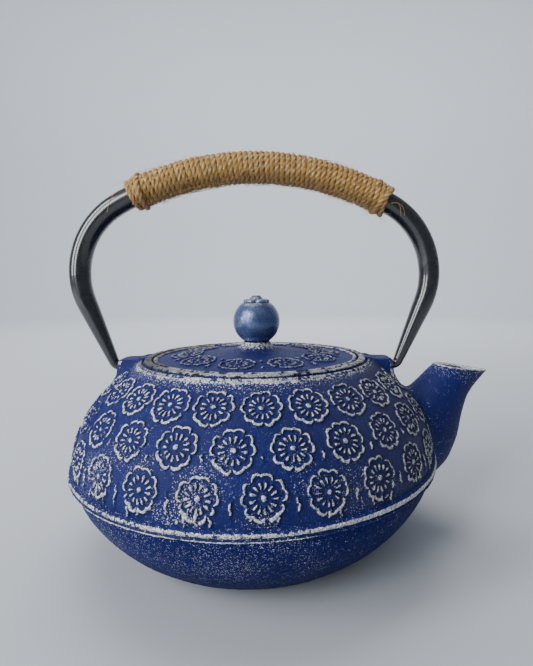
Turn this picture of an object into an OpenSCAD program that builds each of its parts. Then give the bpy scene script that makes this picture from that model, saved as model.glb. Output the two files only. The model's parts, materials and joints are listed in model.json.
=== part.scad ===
// Cast iron teapot with a swing handle, a lift-off lid and a steel infuser basket.
// Millimetres. Z is up from the table, the pot's axis is Z, the spout points along +X
// and the handle turns about the X axis through the two lugs.

/* [Pot] */
// Widest diameter, over the belt that runs round the pot
belt_d = 170; // [164:1:176]
// Height of the rim above the table
rim_z = 86.2; // [85:0.2:88]
// Height of the belt's lower edge
belt_z = 38.8; // [37:0.2:40]
// Height of the belt
belt_h = 3.4; // [2.6:0.2:4]
// Diameter of the flat base
base_d = 100; // [90:2:104]
// Thickness of the cast wall
wall = 3.6; // [3:0.2:4.4]

/* [Handle] */
// Height of the handle's pivot
pivot_z = 81; // [80:0.2:81.4]
// Diameter of the handle tube
tube_d = 10; // [9:0.2:10.4]
// Radius of the handle's long upper arc, at the tube's centre
arc_r = 130; // [126:1:134]
// Outer diameter of the twine wrap
wrap_d = 14.8; // [13:0.2:16]

/* [Lid] */
// Outer diameter of the lid
lid_d = 97; // [95:0.5:97.2]
// Diameter of the knob
knob_d = 22.4; // [20:0.4:24]

/* [Infuser] */
// Depth of the basket below the pot's ledge
basket_h = 38; // [30:1:42]

/* [Hidden] */
$fn = 96;
eps = 0.01;

// Pot body, radii and heights of the revolved section
rim_r = 54.9;
belt_r = belt_d / 2;
belt_top = belt_z + belt_h;
shoulder_r = belt_r - 2.1;
bowl_r = belt_r - 2.4;
base_r = base_d / 2;
mouth_r = 48.9;
neck_r = 44.4;
ledge_z = rim_z - 3.6;
neck_z = ledge_z - 3.4;
floor_z = 4.2;
bead_drop = 0.6;

// Lugs and pivot
lug_top = rim_z - 1.4;
lug_face = 65.8;
lug_foot = 69.5;
lug_w_top = 15;
lug_w_foot = 24;
stub_r = 2.1;
hole_r = 2.17;
hole_end = 56.5;
stub_end = 57.5;

// Handle centreline: long top arc, shoulder arc, lower arc, tapered leg and elbow
tube_r = tube_d / 2;
top_z = 174.2;
arc_cz = top_z - arc_r;
arc_half = 29.5;
bend_r = 38;
low_r = 35;
leg_turn = 22.2;
elbow_r = 2.4;
elbow_bend = 3;
leg_top_r = 4.7;
step_r = 0.06;
lap = 0.4;
wrap_from = 26.6;
wrap_to = 29.2;
wrap_gap = 0.05;

// Lid, knob and fastening
lid_r = lid_d / 2;
lid_z = ledge_z + 0.6;
bore_r = 2.3;
rivet_r = 2.2;
seat_z = rim_z + 6.4;
knob_r = knob_d / 2;
knob_z = seat_z + 9.8;
cap_z = knob_z + knob_r - 2.4;
cap_t = 1.3;
cap_r = 6.3;
head_r = 2.5;
under_z = rim_z - 0.8;

// Infuser
sheet_t = 0.6;
basket_r = 43;
basket_z = ledge_z - basket_h;

function bez(a, b, c, d, t) =
    a * pow(1 - t, 3) + 3 * b * t * pow(1 - t, 2) + 3 * c * (1 - t) * t * t + d * pow(t, 3);
function curve(a, b, c, d, n) = [for (i = [0:n]) bez(a, b, c, d, i / n)];

// Catmull-Rom through the rows of a station list, s counted in stations
function at(v, i) = v[max(0, min(len(v) - 1, i))];
function spline(v, s) =
    let (i = min(len(v) - 2, floor(s)), u = s - i,
         a = at(v, i - 1), b = at(v, i), c = at(v, i + 1), d = at(v, i + 2))
    0.5 * (2 * b + (c - a) * u + (2 * a - 5 * b + 4 * c - d) * u * u
           + (3 * b - 3 * c + d - a) * u * u * u);

// Spout stations, root to mouth: upper edge x z, lower edge x z, half width, point
spout_out = [
    [58, 52, 66, 24, 18, 0],
    [64, 58, 84, 21, 17.5, 0],
    [70, 64, 95, 29, 16, 0],
    [75, 69, 99.4, 43, 13.5, 0.05],
    [79, 73, 101.6, 57, 11, 0.1],
    [83, 77, 105, 67.5, 9, 0.2],
    [87.2, 81.2, 113.2, 77.8, 7.2, 0.35]
];
spout_in = [
    [58, 50, 60, 33, 9.5, 0],
    [69, 56, 82, 35, 9.5, 0],
    [76, 62, 91.5, 41, 9, 0],
    [81, 68, 95.8, 50, 8, 0.05],
    [85, 73.5, 98, 60, 7, 0.1],
    [88.4, 77.8, 101.6, 68.5, 6, 0.2],
    [91.8, 81.6, 111.4, 79, 5, 0.35]
];
loft_sides = 28;
loft_steps = 3;

function ring(v) =
    let (u = [v[0], v[1]], l = [v[2], v[3]], c = (u + l) / 2, h = (u - l) / 2)
    [for (k = [0:loft_sides - 1])
        let (a = 360 * k / loft_sides, p = c + h * cos(a),
             w = v[4] * sin(a) * (1 + v[5] * cos(a)))
        [p[0], w, p[1]]];

module loft(v) {
    n = (len(v) - 1) * loft_steps;
    m = loft_sides;
    pts = [for (j = [0:n]) each ring(spline(v, j / loft_steps))];
    sides = [for (j = [0:n - 1], k = [0:m - 1])
        [j * m + k, j * m + (k + 1) % m, (j + 1) * m + (k + 1) % m, (j + 1) * m + k]];
    tris = [for (q = sides) each [[q[0], q[1], q[2]], [q[0], q[2], q[3]]]];
    root = [for (k = [0:m - 1]) m - 1 - k];
    mouth = [for (k = [0:m - 1]) n * m + k];
    polyhedron(points = pts, faces = concat(tris, [root, mouth]), convexity = 6);
}

// Outside of the casting, from the base up to the rim beads
module pot_outside() {
    rotate_extrude($fn = 180) polygon(concat(
        [[0, 0]],
        curve([base_r, 0], [base_r + 18.6, 8.6], [bowl_r - 0.3, 28.5], [bowl_r, belt_z - 0.4], 12),
        [[belt_r - 0.3, belt_z], [belt_r, belt_z + 0.4], [belt_r - 0.5, belt_z + belt_h / 2],
         [belt_r, belt_top - 0.4], [belt_r - 0.3, belt_top]],
        curve([shoulder_r, belt_top + 0.3], [shoulder_r - 1.2, belt_top + 21],
              [rim_r + 15.2, rim_z - 13.6], [rim_r - 0.2, rim_z - 1.8], 14),
        [[rim_r, rim_z - 1.1], [rim_r - 0.5, rim_z - 0.2], [rim_r - 1.2, rim_z],
         [rim_r - 1.9, rim_z - 0.2], [rim_r - 2.1, rim_z - bead_drop],
         [mouth_r + 1.9, rim_z - bead_drop], [mouth_r + 1.6, rim_z - 0.2], [mouth_r + 0.9, rim_z],
         [0, rim_z]]));
}

// Hollow of the casting: bowl, neck and the ledge that carries the basket
module pot_hollow() {
    rotate_extrude($fn = 180) polygon(concat(
        [[0, floor_z]],
        curve([base_r - 4, floor_z], [base_r + 15.5, floor_z + 8], [bowl_r - wall, 30],
              [bowl_r - wall, belt_z], 10),
        curve([shoulder_r - wall, belt_top], [shoulder_r - wall - 1.3, belt_top + 19],
              [rim_r + 11, rim_z - 17.5], [rim_r - 4.9, neck_z], 10),
        [[neck_r, neck_z], [neck_r, ledge_z], [mouth_r, ledge_z], [mouth_r, rim_z + 1],
         [0, rim_z + 1]]));
}

// One lug on the +X side: a wedge seen from the front, a trapezium seen from the side
module lug() {
    intersection() {
        translate([0, 20, 0]) rotate([90, 0, 0]) linear_extrude(40) polygon([
            [51, 62], [51, lug_top], [lug_face - 2.6, lug_top], [lug_face - 1, lug_top - 1.4],
            [lug_face, pivot_z + 2.4], [lug_face, pivot_z - 4], [lug_face + 1.6, pivot_z - 8],
            [lug_foot, 70], [lug_foot, 62]]);
        translate([45, 0, 0]) rotate([90, 0, 90]) linear_extrude(30) polygon([
            [-lug_w_foot / 2, 62], [-lug_w_foot / 2, 70], [-lug_w_top / 2, lug_top - 2],
            [-lug_w_top / 2 + 2, lug_top + 1], [lug_w_top / 2 - 2, lug_top + 1],
            [lug_w_top / 2, lug_top - 2], [lug_w_foot / 2, 70], [lug_w_foot / 2, 62]]);
    }
}

module lug_hole() {
    translate([hole_end, 0, pivot_z]) rotate([0, 90, 0]) cylinder(r = hole_r, h = 20, $fn = 48);
}

module pot_body() {
    color([0.12, 0.16, 0.36]) difference() {
        union() {
            pot_outside();
            loft(spout_out);
            lug();
            mirror([1, 0, 0]) lug();
        }
        pot_hollow();
        loft(spout_in);
        lug_hole();
        mirror([1, 0, 0]) lug_hole();
    }
}

// Domed lid with an edge bead, a central seat for the knob and a skirt that enters the basket
module lid() {
    color([0.12, 0.16, 0.36]) rotate_extrude($fn = 180) polygon([
        [bore_r, under_z], [13, under_z], [26, under_z - 0.8], [38.6, under_z - 2.4],
        [38.6, lid_z - 4.2], [41.8, lid_z - 4.2], [41.8, lid_z], [lid_r, lid_z],
        [lid_r, rim_z - 0.6], [lid_r - 0.4, rim_z - 0.1], [lid_r - 1.2, rim_z],
        [lid_r - 2, rim_z - 0.2], [lid_r - 2.5, rim_z - 1], [40, rim_z - 0.5],
        [30, rim_z + 0.5], [20, rim_z + 1.6], [13, rim_z + 2.5], [9.5, rim_z + 3.5],
        [7.5, rim_z + 4.8], [6.3, seat_z], [bore_r, seat_z]]);
}

// Round knob, flat where it stands on the lid and where the blossom washer sits
module knob_ball() {
    color([0.14, 0.19, 0.34]) difference() {
        translate([0, 0, knob_z]) sphere(r = knob_r);
        translate([0, 0, seat_z - 20]) cylinder(r = 20, h = 20);
        translate([0, 0, cap_z]) cylinder(r = 20, h = 20);
        translate([0, 0, seat_z - 1]) cylinder(r = bore_r, h = 30, $fn = 48);
    }
}

// Blossom washer: five lobes round a disc
module knob_cap() {
    color([0.5, 0.53, 0.6]) translate([0, 0, cap_z]) linear_extrude(cap_t) difference() {
        union() {
            circle(r = cap_r - 1.4, $fn = 64);
            for (k = [0:4]) rotate(72 * k) translate([cap_r - 2.4, 0]) circle(r = 2.4, $fn = 32);
        }
        circle(r = bore_r, $fn = 48);
    }
}

// Rivet: round head on the washer, shank through knob and lid, tail spread under the lid
module knob_rivet() {
    head_z = cap_z + cap_t;
    color([0.45, 0.47, 0.5]) union() {
        translate([0, 0, under_z - 1.2]) cylinder(r = rivet_r, h = head_z - under_z + 1.4, $fn = 48);
        rotate_extrude($fn = 48) polygon([
            [0, head_z], [head_r + 0.6, head_z], [head_r + 0.3, head_z + 0.9],
            [head_r - 0.8, head_z + 1.7], [head_r - 1.8, head_z + 2], [0, head_z + 2.1]]);
        rotate_extrude($fn = 48) polygon([
            [0, under_z - 1], [3.6, under_z - 1], [3.2, under_z - 1.9], [2, under_z - 2.4],
            [0, under_z - 2.5]]);
    }
}

module lid_washer() {
    color([0.6, 0.61, 0.62]) difference() {
        translate([0, 0, under_z - 1]) cylinder(r = 6, h = 1, $fn = 64);
        translate([0, 0, under_z - 2]) cylinder(r = bore_r, h = 3, $fn = 48);
    }
}

// Round bar bent in the XZ plane about a centre, from angle a0 through sweep da
module bent(cx, cz, r, a0, da, tube) {
    translate([cx, 0, cz]) rotate([90, 0, 0]) rotate(a0)
        rotate_extrude(angle = da, $fn = 240) translate([r, 0]) circle(r = tube, $fn = 48);
}

// Sweep angle of a short length along an arc
function turn(len, r) = len / r * 180 / PI;

// Ends of the centreline pieces on the +X side
bend_cx = (arc_r - bend_r) * sin(arc_half);
bend_cz = arc_cz + (arc_r - bend_r) * cos(arc_half);
low_cx = bend_cx + bend_r - low_r;
leg_x = low_cx + low_r * cos(leg_turn);
leg_z = bend_cz - low_r * sin(leg_turn);
corner_x = leg_x - (leg_z - pivot_z) * tan(leg_turn);
corner_cut = elbow_bend * tan((90 - leg_turn) / 2);
leg_len = (leg_z - pivot_z) / cos(leg_turn) - corner_cut;

// Each piece is a little slimmer than the one before it and starts inside that piece's end
module bail_side() {
    bent(bend_cx, bend_cz, bend_r, 0, 90 - arc_half + turn(lap, bend_r), tube_r - step_r);
    bent(low_cx, bend_cz, low_r, -leg_turn, leg_turn + turn(lap, low_r), tube_r - 2 * step_r);
    translate([leg_x, 0, leg_z]) rotate([0, 180 + leg_turn, 0]) translate([0, 0, -lap])
        cylinder(r1 = leg_top_r, r2 = elbow_r + step_r, h = leg_len + lap, $fn = 48);
    bent(corner_x - corner_cut, pivot_z + elbow_bend, elbow_bend, -90,
         90 - leg_turn + turn(lap, elbow_bend), elbow_r);
    translate([stub_end, 0, pivot_z]) rotate([0, 90, 0])
        cylinder(r = stub_r, h = corner_x - corner_cut + lap - stub_end, $fn = 48);
}

module handle_bail() {
    color([0.04, 0.04, 0.045]) union() {
        bent(0, arc_cz, arc_r, 90 - arc_half, 2 * arc_half, tube_r);
        bail_side();
        mirror([1, 0, 0]) bail_side();
    }
}

// Twine wrap round the top of the handle, as one sleeve
module jute_wrap() {
    color([0.66, 0.47, 0.2]) translate([0, 0, arc_cz]) rotate([90, 0, 0])
        rotate(90 - wrap_to)
        rotate_extrude(angle = wrap_from + wrap_to, $fn = 240) translate([arc_r, 0])
            difference() {
                circle(r = wrap_d / 2, $fn = 48);
                circle(r = tube_r + wrap_gap, $fn = 48);
            }
}

// Stamped rim of the basket: a flange on the pot's ledge and a short collar
module infuser_rim() {
    color([0.72, 0.73, 0.75]) rotate_extrude($fn = 180) polygon([
        [basket_r - sheet_t, ledge_z + sheet_t], [mouth_r - 0.6, ledge_z + sheet_t],
        [mouth_r - 0.6, ledge_z], [basket_r + 0.5, ledge_z], [basket_r + 0.5, ledge_z - 4],
        [basket_r, ledge_z - 4], [basket_r, ledge_z], [basket_r - sheet_t, ledge_z]]);
}

// Strainer wall, carried in CAD as a plain thin tube
module infuser_mesh() {
    color([0.7, 0.71, 0.73]) difference() {
        translate([0, 0, basket_z + sheet_t]) cylinder(r = basket_r, h = basket_h - sheet_t, $fn = 180);
        translate([0, 0, basket_z]) cylinder(r = basket_r - sheet_t, h = basket_h + 1, $fn = 180);
    }
}

// Stamped bottom of the basket with an upturned edge
module infuser_base() {
    color([0.72, 0.73, 0.75]) rotate_extrude($fn = 180) polygon([
        [0, basket_z], [basket_r + 0.5, basket_z], [basket_r + 0.5, basket_z + 4],
        [basket_r, basket_z + 4], [basket_r, basket_z + sheet_t], [0, basket_z + sheet_t]]);
}

pot_body();
lid();
knob_ball();
knob_cap();
knob_rivet();
lid_washer();
handle_bail();
jute_wrap();
infuser_rim();
infuser_mesh();
infuser_base();
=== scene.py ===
"""The looks of a cast iron teapot: relief casting, black bail, twine wrap, lid and steel basket.

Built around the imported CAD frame. Lengths are in millimetres until a mesh is made, in the row
frame: Z is up from the table, the pot's axis is Z, the spout points along +X and the handle
turns about a line parallel to X. Sizes in materials, and of the stage, the lamps and the camera,
are in metres.
"""

import json
import math

import bpy
import numpy as np
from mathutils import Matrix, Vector
from mathutils.bvhtree import BVHTree


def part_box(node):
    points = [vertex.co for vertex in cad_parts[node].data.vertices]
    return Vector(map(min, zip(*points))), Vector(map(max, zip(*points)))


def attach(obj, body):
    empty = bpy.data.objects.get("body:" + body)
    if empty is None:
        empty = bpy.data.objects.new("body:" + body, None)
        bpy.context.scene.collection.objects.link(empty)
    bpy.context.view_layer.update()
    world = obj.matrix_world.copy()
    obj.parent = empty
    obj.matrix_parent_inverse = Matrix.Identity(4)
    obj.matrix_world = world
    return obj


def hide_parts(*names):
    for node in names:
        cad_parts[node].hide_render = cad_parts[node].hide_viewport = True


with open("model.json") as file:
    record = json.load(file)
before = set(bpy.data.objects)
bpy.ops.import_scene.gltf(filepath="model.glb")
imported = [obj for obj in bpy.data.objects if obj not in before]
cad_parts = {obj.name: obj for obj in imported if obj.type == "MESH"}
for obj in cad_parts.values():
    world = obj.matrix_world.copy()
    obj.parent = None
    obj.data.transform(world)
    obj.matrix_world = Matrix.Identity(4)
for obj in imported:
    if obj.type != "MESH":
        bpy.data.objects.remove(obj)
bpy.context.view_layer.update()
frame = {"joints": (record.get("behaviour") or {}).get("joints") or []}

MM = 0.001
TAU = 2 * math.pi


def corner(node, which):
    """Lowest (0) or highest (1) corner of a CAD node, in millimetres."""
    return np.array(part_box(node)[which]) / MM


# Sizes read from the frame
BELT_R = corner("pot_body", 1)[1]
RIM_Z = corner("pot_body", 1)[2]
MOUTH_TIP_X = corner("pot_body", 1)[0]
LEDGE_Z = corner("infuser_mesh", 1)[2]
LID_R = corner("lid", 1)[0]
SEAT_Z = corner("lid", 1)[2]
KNOB_R = corner("knob_ball", 1)[0]
CAP_Z, CAP_TOP = corner("knob_cap", 0)[2], corner("knob_cap", 1)[2]
CAP_R = corner("knob_cap", 1)[0]
RIVET_TOP = corner("knob_rivet", 1)[2]
BASKET_R = corner("infuser_mesh", 1)[0]
BASKET_Z = corner("infuser_base", 0)[2]
HANDLE_TOP = corner("handle_bail", 1)[2]
PIVOT_Z = frame["joints"][0]["pos_m"][2] / MM

# Casting
BASE_R = 50.0
BELT_Z = 38.8
BELT_TOP = 42.2
RIM_R = 54.9
MOUTH_R = 48.9
NECK_R = 44.4
NECK_Z = 79.2
FLOOR_Z = 4.2
SPOUT_FILLET = 5.5
LUG_FILLET = 3.2

# Handle
TUBE_R = 5.0
ARC_R = 130.0
ARC_Z = HANDLE_TOP - TUBE_R - ARC_R
ARC_HALF = math.radians(29.5)
BEND_R = 38.0
LOW_R = 35.0
LEG_TURN = math.radians(22.2)
ELBOW_R = 2.4
ELBOW_BEND = 3.0
LEG_TOP_R = 4.7
STUB_R = 2.1
STUB_END = 57.5

# The body and the material slot of whatever is drawn for each CAD node
NODES = {
    "pot_body": ("pot", "enamel_iron"),
    "lid": ("lid", "enamel_iron"),
    "knob_ball": ("lid", "knob_enamel"),
    "knob_cap": ("lid", "knob_enamel"),
    "knob_rivet": ("lid", "fastener_steel"),
    "lid_washer": ("lid", "fastener_steel"),
    "handle_bail": ("handle", "black_paint"),
    "jute_wrap": ("handle", "jute_twine"),
    "infuser_rim": ("infuser", "stainless"),
    "infuser_mesh": ("infuser", "stainless"),
    "infuser_base": ("infuser", "stainless"),
}

rng = np.random.default_rng(24)


# ---------------------------------------------------------------- numbers and curves


def bezier(a, b, c, d, n):
    """n + 1 points of a cubic curve in the (radius, height) plane."""
    t = np.linspace(0, 1, n + 1)[:, None]
    a, b, c, d = (np.array(p, float) for p in (a, b, c, d))
    return a * (1 - t) ** 3 + 3 * b * t * (1 - t) ** 2 + 3 * c * (1 - t) * t * t + d * t**3


def catmull(rows, s):
    """Catmull-Rom value of a list of rows at s, counted in rows."""
    rows = np.array(rows, float)
    i = np.minimum(len(rows) - 2, np.floor(s).astype(int))
    u = (s - i)[:, None]
    a, b, c, d = (rows[np.clip(i + k, 0, len(rows) - 1)] for k in (-1, 0, 1, 2))
    square = (2 * a - 5 * b + 4 * c - d) * u**2
    cube = (3 * b - 3 * c + d - a) * u**3
    return 0.5 * (2 * b + (c - a) * u + square + cube)


def arc_lengths(points):
    """Length along a polyline at each of its points."""
    steps = np.linalg.norm(np.diff(points, axis=0), axis=1)
    return np.concatenate([[0], np.cumsum(steps)])


def resample(points, n):
    """n + 1 points evenly spaced along a polyline."""
    points = np.asarray(points, float)
    length = arc_lengths(points)
    at = np.linspace(0, length[-1], n + 1)
    return np.stack([np.interp(at, length, line) for line in points.T], -1)


def smooth_line(points, n):
    """n + 1 evenly spaced points of a smooth curve through a few points."""
    s = np.linspace(0, len(points) - 1, 40 * len(points))
    return resample(catmull(points, s), n)


def arc(x, z, r, start, end, n):
    """n points of a circle's arc in a vertical plane."""
    a = np.linspace(start, end, n)
    return np.stack([x + r * np.cos(a), z + r * np.sin(a)], -1)


def even_turn(count):
    """Angles of count even steps round a circle."""
    return np.arange(count) * TAU / count


def radius(points):
    """Distance of each point from the pot's axis."""
    return np.hypot(points[..., 0], points[..., 1])


def azimuth(points):
    """Angle of each point round the pot's axis, 0 towards the spout."""
    return np.arctan2(points[..., 1], points[..., 0])


def unit(vectors):
    """Vectors scaled to length 1."""
    return vectors / np.linalg.norm(vectors, axis=-1, keepdims=True)


def smoothstep(lo, hi, x):
    """0 at lo and 1 at hi with a smooth rise between; lo may lie above hi."""
    t = np.clip((x - lo) / (hi - lo), 0, 1)
    return t * t * (3 - 2 * t)


def bell(x, width):
    """1 at x = 0, falling off smoothly on both sides."""
    return np.exp(-((x / width) ** 2))


def plateau(x, width):
    """1 near x = 0, falling to a half at x = width, with a flat top."""
    return 1 / (1 + (x / width) ** 4)


def lattice(cells, seed):
    """Repeatable values from -1 to 1 for integer cells."""
    x, y, z = (cells[..., k].astype(np.uint64) for k in range(3))
    h = x * np.uint64(374761393) + y * np.uint64(668265263) + z * np.uint64(1440662683)
    h = (h + np.uint64(seed * 1013904223)) & np.uint64(0xFFFFFFFF)
    h = ((h ^ (h >> np.uint64(13))) * np.uint64(1274126177)) & np.uint64(0xFFFFFFFF)
    return ((h >> np.uint64(7)) & np.uint64(0xFFFF)).astype(float) / 32767.5 - 1


def value_noise(points, size, seed):
    """Smooth noise from -1 to 1, with features of the given size."""
    q = points / size + 5000
    cell = np.floor(q)
    f = q - cell
    f = f * f * (3 - 2 * f)
    total = 0
    for k in range(8):
        step = np.array([k & 1, k >> 1 & 1, k >> 2 & 1])
        weight = np.prod(np.where(step, f, 1 - f), axis=-1)
        total = total + weight * lattice(cell + step, seed)
    return total


# ---------------------------------------------------------------- meshes


def grid_faces(rows, cols, wrap=True, flip=False):
    """Quads of a grid of points; wrap joins the last column to the first."""
    i = np.arange(rows - 1)[:, None]
    j = np.arange(cols if wrap else cols - 1)[None, :]
    k = (j + 1) % cols
    quads = np.stack([i * cols + j, i * cols + k, (i + 1) * cols + k, (i + 1) * cols + j], -1)
    quads = quads.reshape(-1, 4)
    return quads[:, ::-1] if flip else quads


def grid_normals(p, wrap=True, flip=False):
    """Unit normals of a grid of points shaped rows x cols x 3."""
    if wrap:
        padded = np.concatenate([p[:, -1:], p, p[:, :1]], axis=1)
        across = (padded[:, 2:] - padded[:, :-2]) / 2
    else:
        across = np.gradient(p, axis=1)
    n = np.cross(across, np.gradient(p, axis=0))
    n /= np.linalg.norm(n, axis=-1, keepdims=True) + 1e-12
    return -n if flip else n


def raised(points, normals, height):
    """Points moved along their normals, each by its own height."""
    return points + normals * height[..., None]


def add_mesh(name, points, faces, material, node, layers=None):
    """One smooth piece from points in millimetres, drawn for a CAD node and riding on its body."""
    used = np.unique(faces)
    lookup = np.full(points.size // 3, -1)
    lookup[used] = np.arange(len(used))
    mesh = bpy.data.meshes.new(name)
    mesh.from_pydata((points.reshape(-1, 3)[used] * MM).tolist(), [], lookup[faces].tolist())
    mesh.validate()
    mesh.polygons.foreach_set("use_smooth", np.ones(len(mesh.polygons), bool))
    for layer, values in (layers or {}).items():
        values = np.broadcast_to(values, points.shape[:-1]).ravel()[used].astype(np.float32)
        mesh.attributes.new(layer, "FLOAT", "POINT").data.foreach_set("value", values)
    mesh.materials.append(material)
    piece = bpy.data.objects.new(name, mesh)
    bpy.context.scene.collection.objects.link(piece)
    body, slot = NODES[node]
    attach(piece, body)
    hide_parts(node)
    return piece


def add_grid(name, points, material, node, layers=None, margin=None, limit=-1.2, wrap=True, flip=False):
    """A piece from a grid of points, without the faces whose margins all lie below the limit."""
    faces = grid_faces(*points.shape[:2], wrap=wrap, flip=flip)
    if margin is not None:
        faces = faces[margin.ravel()[faces].max(1) > limit]
    return add_mesh(name, points, faces, material, node, layers)


def spin(profile, azimuths):
    """Points of a (radius, height) profile turned to each azimuth, rows x cols x 3."""
    r, z = profile[:, :1], profile[:, 1:]
    return np.stack([r * np.cos(azimuths), r * np.sin(azimuths), z + 0 * azimuths], -1)


def add_turned(name, profile, cols, material, node, layers=None, flip=False, grain=0):
    """A piece turned from a profile; the outside of a profile that runs upwards faces out."""
    points = spin(profile, even_turn(cols))
    points = raised(points, grid_normals(points, flip=flip), grain * value_noise(points, 1.3, 3))
    layers = {k: v(points) if callable(v) else v for k, v in (layers or {}).items()}
    return add_grid(name, points, material, node, layers, flip=flip)


def tube_frames(path):
    """Two unit normals along a path, turned as little as possible."""
    tangents = unit(np.gradient(path, axis=0))
    side = np.cross(tangents[0], [0.31, 0.95, 0.11])
    sides = []
    for t in tangents:
        side = unit(side - t * np.dot(side, t))
        sides.append(side)
    return np.array(sides), np.cross(tangents, sides)


def sweep(path, radii, sides):
    """Grid of points of a round tube along a path."""
    u, v = tube_frames(path)
    a = even_turn(sides)
    ring = np.cos(a)[None, :, None] * u[:, None] + np.sin(a)[None, :, None] * v[:, None]
    radii = np.broadcast_to(np.reshape(radii, (-1, 1, 1)), (len(path), 1, 1))
    return path[:, None] + ring * radii


class Bundle:
    """Many small grids of points gathered into one mesh."""

    def __init__(self):
        self.points, self.faces, self.count = [], [], 0

    def add(self, grid, faces):
        """Takes in a grid of points with its own faces."""
        self.points.append(grid.reshape(-1, 3))
        self.faces.append(faces + self.count)
        self.count += len(self.points[-1])

    def add_tube(self, path, radii, sides):
        """Takes in a thin tube along a path."""
        self.add(sweep(path, radii, sides), grid_faces(len(path), sides, flip=True))

    def gathered(self):
        """All the points and all the faces."""
        return np.concatenate(self.points), np.concatenate(self.faces)


# ---------------------------------------------------------------- materials

DEEP_BLUE, LIGHT_BLUE = (0.0095, 0.014, 0.098), (0.020, 0.032, 0.225)
SILVER, THIN_SILVER = (0.93, 0.93, 0.88), (0.14, 0.16, 0.22)
DUST_AND_WARM_REFLECTION, SHADE_AND_MARK_DARK = (0.115, 0.105, 0.098), (0.003, 0.004, 0.010)
KNOB_DEEP, KNOB_LIGHT, KNOB_RUBBED = (0.050, 0.080, 0.22), (0.11, 0.15, 0.31), (0.27, 0.31, 0.39)
PAINT_DEEP, PAINT_LIGHT, PAINT_DUST = (0.004, 0.004, 0.005), (0.008, 0.008, 0.010), (0.09, 0.09, 0.1)
JUTE_DARK, JUTE_GOLD, JUTE_BROWN = (0.25, 0.115, 0.022), (0.92, 0.54, 0.15), (0.36, 0.19, 0.055)
JUTE_CREASE_SHADE, JUTE_UNDER_SHADE_AND_DIRT, JUTE_GLINT = (0.085, 0.045, 0.018), (0.12, 0.066, 0.036), (1.0, 0.80, 0.46)
INNER_DEEP, INNER_LIGHT = (0.012, 0.013, 0.016), (0.03, 0.031, 0.036)


class Graph:
    """A material's node tree with short calls for what the materials here use."""

    def __init__(self, name):
        self.material = bpy.data.materials.new(name)
        self.material.use_nodes = True
        self.tree = self.material.node_tree
        self.shader = self.tree.nodes["Principled BSDF"]
        self.coords = self.tree.nodes.new("ShaderNodeTexCoord").outputs["Object"]

    def put(self, socket, value):
        """Links a socket to another one, or sets its constant."""
        if isinstance(value, bpy.types.NodeSocket):
            self.tree.links.new(value, socket)
        else:
            socket.default_value = (*value, 1) if isinstance(value, tuple) else value

    def node(self, kind, **inputs):
        """A new node with some of its named inputs put in."""
        node = self.tree.nodes.new("ShaderNode" + kind)
        for name, value in inputs.items():
            self.put(node.inputs[name], value)
        return node

    def set(self, **inputs):
        """Puts values into the shader's inputs, named with _ for a space."""
        for name, value in inputs.items():
            self.put(self.shader.inputs[name.replace("_", " ")], value)

    def attribute(self, name):
        """A layer of the mesh; 0 where the mesh has no such layer."""
        node = self.node("Attribute")
        node.attribute_name = name
        return node.outputs["Fac"]

    def vector(self, x, y, z):
        """A vector from three values."""
        return self.node("CombineXYZ", X=x, Y=y, Z=z).outputs[0]

    def stretched(self, x, y, z):
        """The object's coordinates, each scaled by its own factor."""
        parts = self.node("SeparateXYZ", Vector=self.coords).outputs
        return self.vector(*[self.times(c, k) for c, k in zip(parts, (x, y, z))])

    def noise(self, size, detail=2.0, rough=0.5, coords=None):
        """Noise from 0 to 1 with features of about the given size in metres."""
        place = coords or self.coords
        node = self.node("TexNoise", Vector=place, Scale=1 / size, Detail=detail, Roughness=rough)
        return node.outputs["Fac"]

    def cells(self, size):
        """Distance to the centre of the nearest of many cells, 0 at the centres."""
        node = self.node("TexVoronoi", Vector=self.coords, Scale=1 / size)
        node.feature = "SMOOTH_F1"
        node.inputs["Smoothness"].default_value = 0.25
        return node.outputs["Distance"]

    def math(self, operation, a, b):
        """A sum, a product or the like of two values."""
        node = self.node("Math")
        node.operation = operation
        self.put(node.inputs[0], a)
        self.put(node.inputs[1], b)
        return node.outputs[0]

    def plus(self, a, b):
        """The sum of two values."""
        return self.math("ADD", a, b)

    def times(self, a, b):
        """The product of two values."""
        return self.math("MULTIPLY", a, b)

    def ramp(self, value, low, high, to_low=0.0, to_high=1.0):
        """Value mapped smoothly from low..high to to_low..to_high, clamped."""
        node = self.node("MapRange")
        node.interpolation_type = "SMOOTHSTEP"
        for socket, v in zip(node.inputs, (value, low, high, to_low, to_high)):
            self.put(socket, v)
        return node.outputs[0]

    def mix(self, factor, a, b):
        """The colour a turning into b as the factor goes from 0 to 1."""
        node = self.node("Mix")
        node.data_type = "RGBA"
        for index, value in ((0, factor), (6, a), (7, b)):
            self.put(node.inputs[index], value)
        return node.outputs[2]

    def bump(self, height, distance, strength):
        """Fine roughness of the surface."""
        self.set(Normal=self.node("Bump", Height=height, Distance=distance, Strength=strength).outputs[0])


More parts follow.
